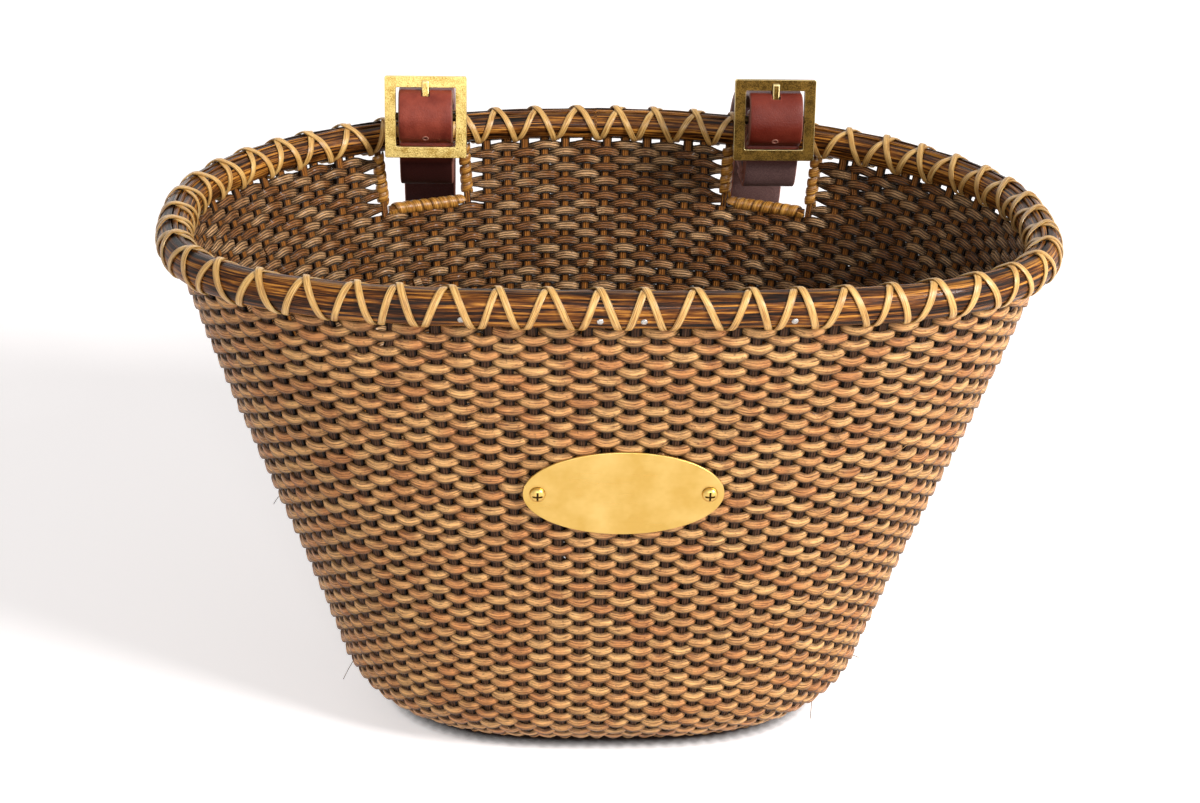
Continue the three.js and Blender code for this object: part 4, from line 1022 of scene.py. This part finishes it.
def strap_line():
    def under(layer):
        return UNDER_RIM - layer * STRAP_STEP

    def turn_out(layer):
        depth = RIM_HALF_THICKNESS + RIM_SKEW * STRAP_WIDTH / 2 + layer * STRAP_STEP * 0.6
        return -depth, under(layer * 0.75)

    # The end that is folded round the bar, the fold, then the loop and the tail through the buckle
    first = spline([(FOLD_REACH, under(0)), (0.0, under(0)), turn_out(0), *below_bar(2)[:2:-1],
                    at_buckle(-FOLD_RADIUS - STRAP_LAYER_GAP, -BAR_EDGE_UP * 0.3),
                    at_buckle(-FOLD_RADIUS, 0.0)])
    fold = [at_buckle(-forward, up) for forward, up in arc(FOLD_RADIUS, FOLD_RADIUS, 0.0, math.pi, 17)[1:-1]]
    down_to_loop = [at_buckle(FOLD_RADIUS, 0.0), *below_bar(1)[1:], turn_out(1), (0.0, under(1))]
    loop = [(FOLD_REACH, under(1.15)), (LOOP_REACH * 0.46, -LOOP_DROP * 0.47),
            (LOOP_REACH * 0.58, -LOOP_DROP * 0.82), (LOOP_REACH * 0.75, -LOOP_DROP),
            (LOOP_REACH * 0.92, -LOOP_DROP * 0.83), (LOOP_REACH, -LOOP_DROP * 0.5),
            (LOOP_REACH * 0.96, -LOOP_DROP * 0.17)]
    over_rim = [(LOOP_REACH * 0.78, OVER_RIM * 0.3), (LOOP_REACH * 0.5, OVER_RIM * 0.95),
                (RIM_HALF_THICKNESS + LASHING_BUILD, OVER_RIM), (HOOP_FACE, OVER_RIM),
                (-RIM_HALF_THICKNESS * 0.45, OVER_RIM + STRAP_STEP * 1.3)]
    through = [at_buckle(forward, up) for forward, up in (
        (BEHIND_BAR - STRAP_STEP * 0.9, BAR_EDGE_UP - UNDER_BAR),
        (-BUCKLE_THICKNESS / 2, BAR_EDGE_UP - UNDER_BAR),
        (BULGE * 0.36, BAR_EDGE_UP * 0.8), (BULGE * 0.76, BAR_EDGE_UP * 0.6), (BULGE, BAR_EDGE_UP * 0.22))]
    tail = [*below_bar(0), turn_out(2), (0.0, under(2)), (TAIL_REACH, under(2))]
    return np.concatenate([first, fold, spline(down_to_loop + loop + over_rim + through + tail)])


def strap_origin(sign):
    return on_rim(sign * WINDOW_STAKES)[0][0] + (-sign * STRAP_INSET, RIM_SKEW * STRAP_INSET, 0.0)


def buckle_frame(sign):
    """Axes sideways, forward into the basket and up in the buckle's plane, and the bar's middle"""
    forward = (0.0, -math.cos(BUCKLE_LEAN), math.sin(BUCKLE_LEAN))
    up = (0.0, math.sin(BUCKLE_LEAN), math.cos(BUCKLE_LEAN))
    return np.array([SIDEWAYS, forward, up]).T, strap_origin(sign) + (0.0, -BUCKLE_SETBACK, BUCKLE_RISE)


def mesh_of(name, shape):
    mesh = bpy.data.meshes.new(name)
    shape.to_mesh(mesh)
    shape.free()
    return mesh


def remade(thing):
    """Makes a thing's modifiers part of its mesh"""
    bpy.context.view_layer.update()
    graph = bpy.context.evaluated_depsgraph_get()
    made = bpy.data.meshes.new_from_object(thing.evaluated_get(graph))
    thing.modifiers.clear()
    thing.data = made
    return made


def cut_away(thing, shape):
    """Takes a shape out of a thing"""
    cutter = linked("cutter", mesh_of("cutter", shape))
    change = thing.modifiers.new("cut", "BOOLEAN")
    change.operation = "DIFFERENCE"
    change.solver = "EXACT"
    change.object = cutter
    remade(thing)
    bpy.data.objects.remove(cutter)


def drill(place, direction, radius, reach):
    """A round shape about a place, in millimetres"""
    shape = bmesh.new()
    bmesh.ops.create_cone(shape, cap_ends=True, segments=24, radius1=radius * MM, radius2=radius * MM,
                          depth=2.0 * reach * MM)
    turn = Vector(direction).to_track_quat("Z", "Y").to_matrix().to_4x4()
    bmesh.ops.transform(shape, matrix=Matrix.Translation(Vector(place) * MM) @ turn, verts=shape.verts)
    return shape


def block(low, high, axes, origin):
    """A box between two corners in a frame of three axes, in millimetres"""
    shape = bmesh.new()
    bmesh.ops.create_cube(shape, size=1.0)
    for vertex in shape.verts:
        local = lerp(np.array(low), np.array(high), np.array(vertex.co) + 0.5)
        vertex.co = (origin + axes @ local) * MM
    if np.linalg.det(axes) < 0.0:
        bmesh.ops.reverse_faces(shape, faces=shape.faces)
    return shape


def strap_section():
    """Across and out shares of a strap with rounded edges"""
    half, round_off = STRAP_WIDTH / 2, STRAP_THICKNESS / 2
    edge = round_off * 0.7
    right = arc(edge, round_off, -math.pi / 2, math.pi / 2, 7) + (half - edge, 0.0)
    across = np.linspace(half - round_off, round_off - half, 9)[1:-1]
    top = np.stack([across, np.full(len(across), round_off)], axis=-1)
    return np.concatenate([right, top, -right, -top]) / (half, round_off)


def cut_strap(thing, sign):
    """Cuts the prong's two slots, the rivet's hole and the spare hole in the loop"""
    origin = strap_origin(sign)
    axes, pivot = buckle_frame(sign)
    slot = PRONG_WIDTH / 2 + FIT
    fold_outer = FOLD_RADIUS + STRAP_THICKNESS / 2 + FIT / 2
    cut_away(thing, block((-slot, -fold_outer, -PRONG_EYE_RADIUS - 3 * FIT), (slot, fold_outer, fold_outer),
                          axes, pivot))
    cut_away(thing, block((-slot, -BUCKLE_THICKNESS, BAR_EDGE_UP * 0.74),
                          (slot, BULGE + STRAP_THICKNESS, BAR_EDGE_UP), axes, pivot))
    cut_away(thing, drill(origin + (0.0, RIVET_REACH, UNDER_RIM - STRAP_STEP / 2), UP, RIVET_RADIUS + FIT,
                          STRAP_STEP * 1.5))
    cut_away(thing, drill(origin + (0.0, LOOP_REACH, -LOOP_DROP / 2), (0.0, 1.0, 0.0), STRAP_HOLE_RADIUS,
                          STRAP_STEP * 2))


def punch_strap(thing, sign, path, out, name, *belongs):
    """One more hole in the outermost layer below the bar, with a pale lip"""
    axes, pivot = buckle_frame(sign)
    _, forward, up = ((path - pivot) @ axes).T
    apart = np.abs(up + STRAP_PUNCH_DROP)
    punched = np.argmax(np.where(apart < STRAP_THICKNESS, forward, -BUCKLE_SIZE) - apart * STRAP_WIDTH)
    place, facing = path[punched], out[punched]
    cut_away(thing, drill(place, facing, STRAP_PUNCH_RADIUS, STRAP_THICKNESS * 0.7))
    lip = [(STRAP_PUNCH_RADIUS + FIT * wide, FIT * high)
           for wide, high in ((0, -1), (0, 1 / 3), (1, 1 / 2), (2, 0), (2, -1), (0, -1))]
    turned(name, lip, np.array([SIDEWAYS, np.cross(facing, SIDEWAYS), facing]).T,
           place + facing * STRAP_THICKNESS / 2, PALE_LEATHER, *belongs)


def strap(side, sign):
    node = f"strap_{side}"
    line = strap_line()
    path = np.insert(line, 0, 0.0, axis=1) + strap_origin(sign)
    out = np.cross(unit(np.gradient(path, axis=0)), SIDEWAYS)
    # Below the buckle the right strap shows its flesh side, and the left one is painted nearly black as
    # shadow
    under_buckle = (smooth((BUCKLE_RISE - BUCKLE_SIZE / 2 - line[:, 1]) / STRAP_THICKNESS)
                    * smooth((0.85 - line[:, 0] / LOOP_REACH) / 0.1))
    sheaf = Sheaf()
    sheaf.strand(path, out, STRAP_WIDTH, STRAP_THICKNESS, 0.6 * (sign > 0), under_buckle * sign,
                 strap_section())
    thing = sheaf.place(f"{node}_leather", LEATHER, "strap_leather", node, body=node, sharp=40.0)
    cut_strap(thing, sign)
    punch_strap(thing, sign, path, out, f"{node}_punch", node, "strap_leather", node)


# Small solids of revolution and drawn outlines, each with its material, body and replaced nodes
def turned(name, outline, axes, origin, *belongs):
    """An outline of radius and height turned about the third axis"""
    shape = bmesh.new()
    rings = []
    for radius, height in outline:
        around = ellipse(2 * radius, 2 * radius, TURNED_SIDES) if radius > 1e-6 else [(0.0, 0.0)]
        rings.append([shape.verts.new((origin + axes @ (x, y, height)) * MM) for x, y in around])
    for low, high in zip(rings, rings[1:]):
        for k in range(TURNED_SIDES):
            quad = ((low, k), (low, k + 1), (high, k + 1), (high, k))
            corners = [ring[place % len(ring)] for ring, place in quad]
            unique = [corner for i, corner in enumerate(corners) if corner not in corners[:i]]
            if len(unique) > 2:
                shape.faces.new(unique)
    bmesh.ops.recalc_face_normals(shape, faces=shape.faces)
    mesh = mesh_of(name, shape)
    mesh.shade_smooth()
    mesh.set_sharp_from_angle(angle=math.radians(35.0))
    return piece(name, mesh, *belongs)


def drawn(name, outlines, low, high, axes, origin, *belongs):
    """Outlines in the first two axes, the later ones as holes, drawn along the third axis"""
    shape = bmesh.new()
    edges = []
    for outline in outlines:
        ring = [shape.verts.new((origin + axes @ (x, y, low)) * MM) for x, y in outline]
        edges += [shape.edges.new(ends) for ends in zip(ring, ring[1:] + ring[:1])]
    filled = bmesh.ops.triangle_fill(shape, use_beauty=True, use_dissolve=True, edges=edges)
    faces = [face for face in filled["geom"] if isinstance(face, bmesh.types.BMFace)]
    grown = bmesh.ops.extrude_face_region(shape, geom=faces)
    moved = [vertex for vertex in grown["geom"] if isinstance(vertex, bmesh.types.BMVert)]
    bmesh.ops.translate(shape, verts=moved, vec=Vector(axes[:, 2] * (high - low) * MM))
    bmesh.ops.recalc_face_normals(shape, faces=shape.faces)
    return piece(name, mesh_of(name, shape), *belongs)


def bevelled(thing, width):
    change = thing.modifiers.new("bevel", "BEVEL")
    change.width = width * MM
    change.segments = 3
    change.limit_method = "ANGLE"
    change.angle_limit = math.radians(40.0)
    made = remade(thing)
    made.shade_smooth()
    made.set_sharp_from_angle(angle=math.radians(35.0))
    # Broad faces stay flat between the rounded edges, which are painted bright, partly as wear and partly as
    # a painted glint
    wear_and_glint = made.attributes.new("wear_and_glint", "FLOAT", "FACE")
    for polygon in made.polygons:
        polygon.use_smooth = polygon.area < BROAD_FACE * MM * MM
        wear_and_glint.data[polygon.index].value = float(polygon.use_smooth)


def square(half, corner):
    """Outline of a square with rounded corners"""
    points = []
    for quarter, signs in enumerate(((1, 1), (-1, 1), (-1, -1), (1, -1))):
        start = quarter * math.pi / 2
        points.extend(arc(corner, corner, start, start + math.pi / 2, 5) + np.multiply(signs, half - corner))
    return points


def buckle(side, sign, material, slot):
    axes, origin = buckle_frame(sign)
    belongs = (f"buckle_{side}", slot, f"buckle_{side}")
    outlines = [square(BUCKLE_SIZE / 2, 0.9), square(BUCKLE_WINDOW / 2, 0.5)]
    bevelled(drawn(f"buckle_{side}_cast", outlines, -BUCKLE_THICKNESS / 2, BUCKLE_THICKNESS / 2,
                   axes[:, [0, 2, 1]], origin, material, *belongs), 0.45)
    reach = BUCKLE_WINDOW / 2 + FIT
    outline = [(0.0, -reach), (BAR_RADIUS, -reach), (BAR_RADIUS, reach), (0.0, reach)]
    # The bar is painted dark as shade, so that its ends read as the shaded gaps beside the strap
    turned(f"buckle_{side}_bar", outline, np.eye(3)[:, [1, 2, 0]], origin, SHADE_DARK_BRASS, *belongs)


def prong(side, sign, material, slot):
    axes, origin = buckle_frame(sign)
    half = PRONG_THICKNESS / 2
    arm_back = BUCKLE_THICKNESS / 2 + FIT
    join_back = math.acos(arm_back / PRONG_EYE_RADIUS)
    join_front = math.acos((arm_back + PRONG_THICKNESS) / PRONG_EYE_RADIUS)
    # The eye runs from the arm's back round to its front, then up the arm and over its nose
    around = arc(PRONG_EYE_RADIUS, PRONG_EYE_RADIUS, join_back, math.tau + join_front, 40)
    nose = arc(half, half, 0.0, math.pi, 9) + (arm_back + half, OUTER_BAR_UP)
    eye = ellipse(2 * (BAR_RADIUS + FIT), 2 * (BAR_RADIUS + FIT), 24)
    outlines = [np.concatenate([around, nose]), eye]
    bevelled(drawn(f"prong_{side}_cast", outlines, -PRONG_WIDTH / 2, PRONG_WIDTH / 2, axes[:, [1, 2, 0]],
                   origin, material, f"prong_{side}", slot, f"prong_{side}"), 0.7)


def dome(radius, height, points):
    return arc(radius, height, 0.0, math.pi / 2, points)


def rivet(side, sign, material, slot):
    top = UNDER_RIM + STRAP_THICKNESS / 2 + FIT
    bottom = UNDER_RIM - 1.2 * STRAP_STEP - STRAP_THICKNESS / 2 - FIT
    head = dome(RIVET_HEAD_RADIUS, RIVET_HEAD_HEIGHT, 7)
    outline = [*(head[::-1] * (1.0, -1.0) + (0.0, bottom)), (RIVET_RADIUS, bottom), (RIVET_RADIUS, top),
               *(head + (0.0, top))]
    origin = strap_origin(sign) + (0.0, RIVET_REACH, 0.0)
    turned(f"strap_rivet_{side}_cast", outline, np.eye(3), origin, material, f"strap_{side}", slot,
           f"strap_rivet_{side}")


def straps():
    for (side, sign), material, slot in zip(SIDES, (BRIGHT, ANTIQUE), ("bright_brass", "antique_brass")):
        strap(side, sign)
        buckle(side, sign, material, slot)
        prong(side, sign, material, slot)
        rivet(side, sign, material, slot)


# Plate
ON_WALL = ("basket", "polished_brass")


def front_point(x, height):
    opened = opening(height)
    half_width = lerp(FOOT_HALF_WIDTH, RIM_HALF_WIDTH, opened)
    squareness = lerp(FOOT_FRONT_SQUARENESS, RIM_FRONT_SQUARENESS, opened)
    reach = (1.0 - abs(x / half_width) ** squareness) ** (1.0 / squareness)
    depth = lerp(FOOT_FRONT_DEPTH, RIM_FRONT_DEPTH, opened) * reach
    return np.array([x, RIM_WIDEST_Y * opened - depth, height])


def plate_frame():
    """Axes along the plate, up it and out of the wall, and its middle"""
    half = SCREW_SPACING / 2
    along = unit(front_point(PLATE_X + half, PLATE_Z) - front_point(PLATE_X - half, PLATE_Z))
    half = PLATE_HEIGHT / 2
    upwards = front_point(0.0, PLATE_Z + half) - front_point(0.0, PLATE_Z - half)
    out = unit(np.cross(along, upwards))
    return np.array([along, np.cross(out, along), out]).T, front_point(PLATE_X, PLATE_Z)


def plate_screw(side, axes, middle):
    node = f"plate_screw_{side}"
    top = WALL_FACE + PLATE_THICKNESS + FIT
    tip = -WALL_FACE - WASHER_THICKNESS - NUT_HEIGHT - SCREW_PROUD - 2 * FIT
    outline = [(0.0, tip), (SCREW_RADIUS, tip), (SCREW_RADIUS, top),
               *(dome(SCREW_HEAD_RADIUS, SCREW_HEAD_HEIGHT, 8) + (0.0, top))]
    screw = turned(f"{node}_head", outline, axes, middle, PLATE, *ON_WALL, node)
    low, high = top + SCREW_SLOT_FLOOR, top + SCREW_HEAD_HEIGHT * 2
    for x, y in ((SCREW_SLOT_REACH, SCREW_SLOT_HALF), (SCREW_SLOT_HALF, SCREW_SLOT_REACH)):
        cut_away(screw, block((-x, -y, low), (x, y, high), axes, middle))
    # The slots' floor, painted dark as shade in the recess
    corner = [(SCREW_SLOT_REACH, SCREW_SLOT_HALF), (SCREW_SLOT_HALF, SCREW_SLOT_HALF),
              (SCREW_SLOT_HALF, SCREW_SLOT_REACH)]
    turns = [np.array([[c, -s], [s, c]]) for c, s in ((1, 0), (0, 1), (-1, 0), (0, -1))]
    cross = [turn @ point for turn in turns for point in corner]
    drawn(f"{node}_slot", [cross], low - FIT, low + FIT / 2, axes, middle, SHADE_DARK_BRASS, *ON_WALL, node)


def plate_washer(node, shape, radius, sides, low, height, axes, middle):
    hole = ellipse(2 * SCREW_RADIUS + FIT, 2 * SCREW_RADIUS + FIT, 24)
    outlines = [ellipse(2 * radius, 2 * radius, sides), hole]
    bevelled(drawn(f"{node}_{shape}", outlines, low, low + height, axes, middle, PLATE, *ON_WALL, node), 0.2)


def name_plate():
    axes, middle = plate_frame()
    outline = ellipse(PLATE_WIDTH, PLATE_HEIGHT, 120)
    bevelled(drawn("name_plate_brass", [outline], WALL_FACE, WALL_FACE + PLATE_THICKNESS, axes, middle, PLATE,
                   *ON_WALL, "name_plate"), 0.4)
    for side, sign in SIDES:
        place = middle + axes[:, 0] * sign * SCREW_SPACING / 2
        plate_screw(side, axes, place)
        low = -WALL_FACE - WASHER_THICKNESS
        plate_washer(f"plate_washer_{side}", "ring", WASHER_RADIUS, 40, low, WASHER_THICKNESS, axes, place)
        low -= NUT_HEIGHT + FIT
        plate_washer(f"plate_nut_{side}", "hex", NUT_RADIUS, 6, low, NUT_HEIGHT, axes, place)


# Small things that stand out of the weave and the rim
def nails():
    points, tangents, outs = on_rim(np.linspace(STAKE_COUNT * 0.3, STAKE_COUNT * 0.7, 2001))
    angle = -math.asin(NAIL_DROP / (OUTER_HOOP_HEIGHT / 2))
    reach = HOOP_FACE + OUTER_HOOP_THICKNESS * math.cos(angle)
    outline = [(0.0, -NAIL_RADIUS), *dome(NAIL_RADIUS, NAIL_RADIUS * 0.4, 6)]
    for number, x in enumerate(NAIL_PLACES, 1):
        near = np.argmin(np.abs(points[:, 0] - x))
        facing = outs[near] * math.cos(angle) + UP * math.sin(angle)
        axes = np.array([tangents[near], np.cross(facing, tangents[near]), facing]).T
        turned(f"rim_nail_{number}", outline, axes, points[near] + outs[near] * reach - UP * NAIL_DROP, STEEL,
               "basket", None)


def loose_fibres():
    sheaf = Sheaf()
    share = np.linspace(0.0, 1.0, 10)[:, None]
    for _ in range(LOOSE_FIBRES):
        length = chance.choice([chance.uniform(24.0, 40.0), chance.uniform(60.0, 200.0)])
        point, normal = on_wall(np.array([chance.uniform(0.0, STAKE_COUNT)]), length)
        reach = chance.uniform(4.0, 10.0)
        drift = unit(chance.normal(0.0, 1.0, 3))
        path = (point + normal * (WEAVER_REACH + 0.35 * reach * share) + drift * reach * share
                - UP * 0.25 * reach * share ** 2)
        sheaf.strand(path, normal, FIBRE_THICKNESS, FIBRE_THICKNESS, chance.random(), 1.0, section(5, 2.0))
    sheaf.place("loose_fibres", REED, "woven_reed", "woven_wall")


# Floor, light and camera
CAMERA_PLACE = (-1.95, -908.1, 542.5)
CAMERA_YAW = 3.1
CAMERA_PITCH = 24.1
CAMERA_ROLL = 1.44
CAMERA_LENS = 66.45
FLOOR_GLOW = 0.5
FLOOR_CONTACT = 7.0
FLOOR_HALF = 20.0
WHITE_FROM = 0.8
WHITE_AT = 2.0
AMBIENT = 0.33
LAMP_TARGET = (0.0, 0.0, 0.12)


def camera():
    data = bpy.data.cameras.new("camera")
    data.lens = CAMERA_LENS
    data.sensor_width = 36.0
    data.clip_start = 0.01
    data.clip_end = 50.0
    lens = linked("camera", data)
    yaw = Matrix.Rotation(math.radians(-CAMERA_YAW), 4, "Z")
    turn = Matrix.Rotation(math.radians(90.0 - CAMERA_PITCH), 4, "X")
    turn = turn @ Matrix.Rotation(math.radians(CAMERA_ROLL), 4, "Z")
    lens.matrix_world = yaw @ Matrix.Translation(Vector(CAMERA_PLACE) * MM) @ turn
    bpy.context.scene.camera = lens


def studio_floor():
    """A pale floor that glows white further off, with a painted contact shadow where the basket stands on it
    """
    mesh = bpy.data.meshes.new("studio_floor")
    corners = [(-1.0, -1.0), (1.0, -1.0), (1.0, 1.0), (-1.0, 1.0)]
    mesh.from_pydata([(FLOOR_HALF * x, FLOOR_HALF * y, 0.0) for x, y in corners], [], [(0, 1, 2, 3)])
    floor = linked("studio_floor", mesh)
    finish = Finish("studio_floor", Roughness=1.0, Specular_IOR_Level=0.0,
                    Emission_Color=(1.0, 0.975, 0.97, 1.0))
    # Painted contact shadow: the floor's colour and glow darken where the basket is close by
    occlusion = finish.node("ShaderNodeAmbientOcclusion", "AO", {"Distance": FLOOR_CONTACT * MM})
    open_to_light = occlusion.spread(0.3, 0.9)
    away = finish.node("ShaderNodeVectorMath", "Value", {"Vector": finish.place()}, operation="LENGTH")
    glow = open_to_light * away.spread(WHITE_FROM, WHITE_AT, FLOOR_GLOW, 1.0)
    finish.set("Emission Strength", finish.seen() * glow)
    finish.set("Base Color", open_to_light.blend(srgb(60, 46, 40), srgb(234, 229, 228)))
    mesh.materials.append(finish.material)


def lamp(name, place, size, energy):
    data = bpy.data.lights.new(name, "AREA")
    data.shape = "DISK"
    data.size = size
    data.energy = energy
    thing = linked(name, data)
    thing.location = place
    thing.rotation_euler = (Vector(LAMP_TARGET) - Vector(place)).to_track_quat("-Z", "Y").to_euler()


def studio():
    studio_floor()
    lamp("key", (1.75, -1.3, 1.45), 0.6, 72.0)
    lamp("front_fill", (-0.5, -2.4, 1.3), 1.4, 9.0)
    lamp("low_front", (0.3, -2.6, 1.0), 0.5, 13.0)
    lamp("rear_fill", (-0.6, 2.4, 1.3), 2.0, 9.0)
    world = bpy.data.worlds.new("studio")
    bpy.context.scene.world = world
    world.use_nodes = True
    sky = Nodes(world.node_tree)
    background = sky.tree.nodes["Background"]
    background.inputs["Color"].default_value = (1.0, 1.0, 1.0, 1.0)
    sky.join(sky.seen().spread(0.0, 1.0, AMBIENT, 1.0), background.inputs["Strength"])
    bpy.context.scene.view_settings.view_transform = "Standard"


weave()
wall_stakes()
base_mat()
rim()
lashing("rim_lashing_right_hand", 1.0)
lashing("rim_lashing_left_hand", -1.0)
window_frames()
straps()
name_plate()
nails()
loose_fibres()
studio()
camera()
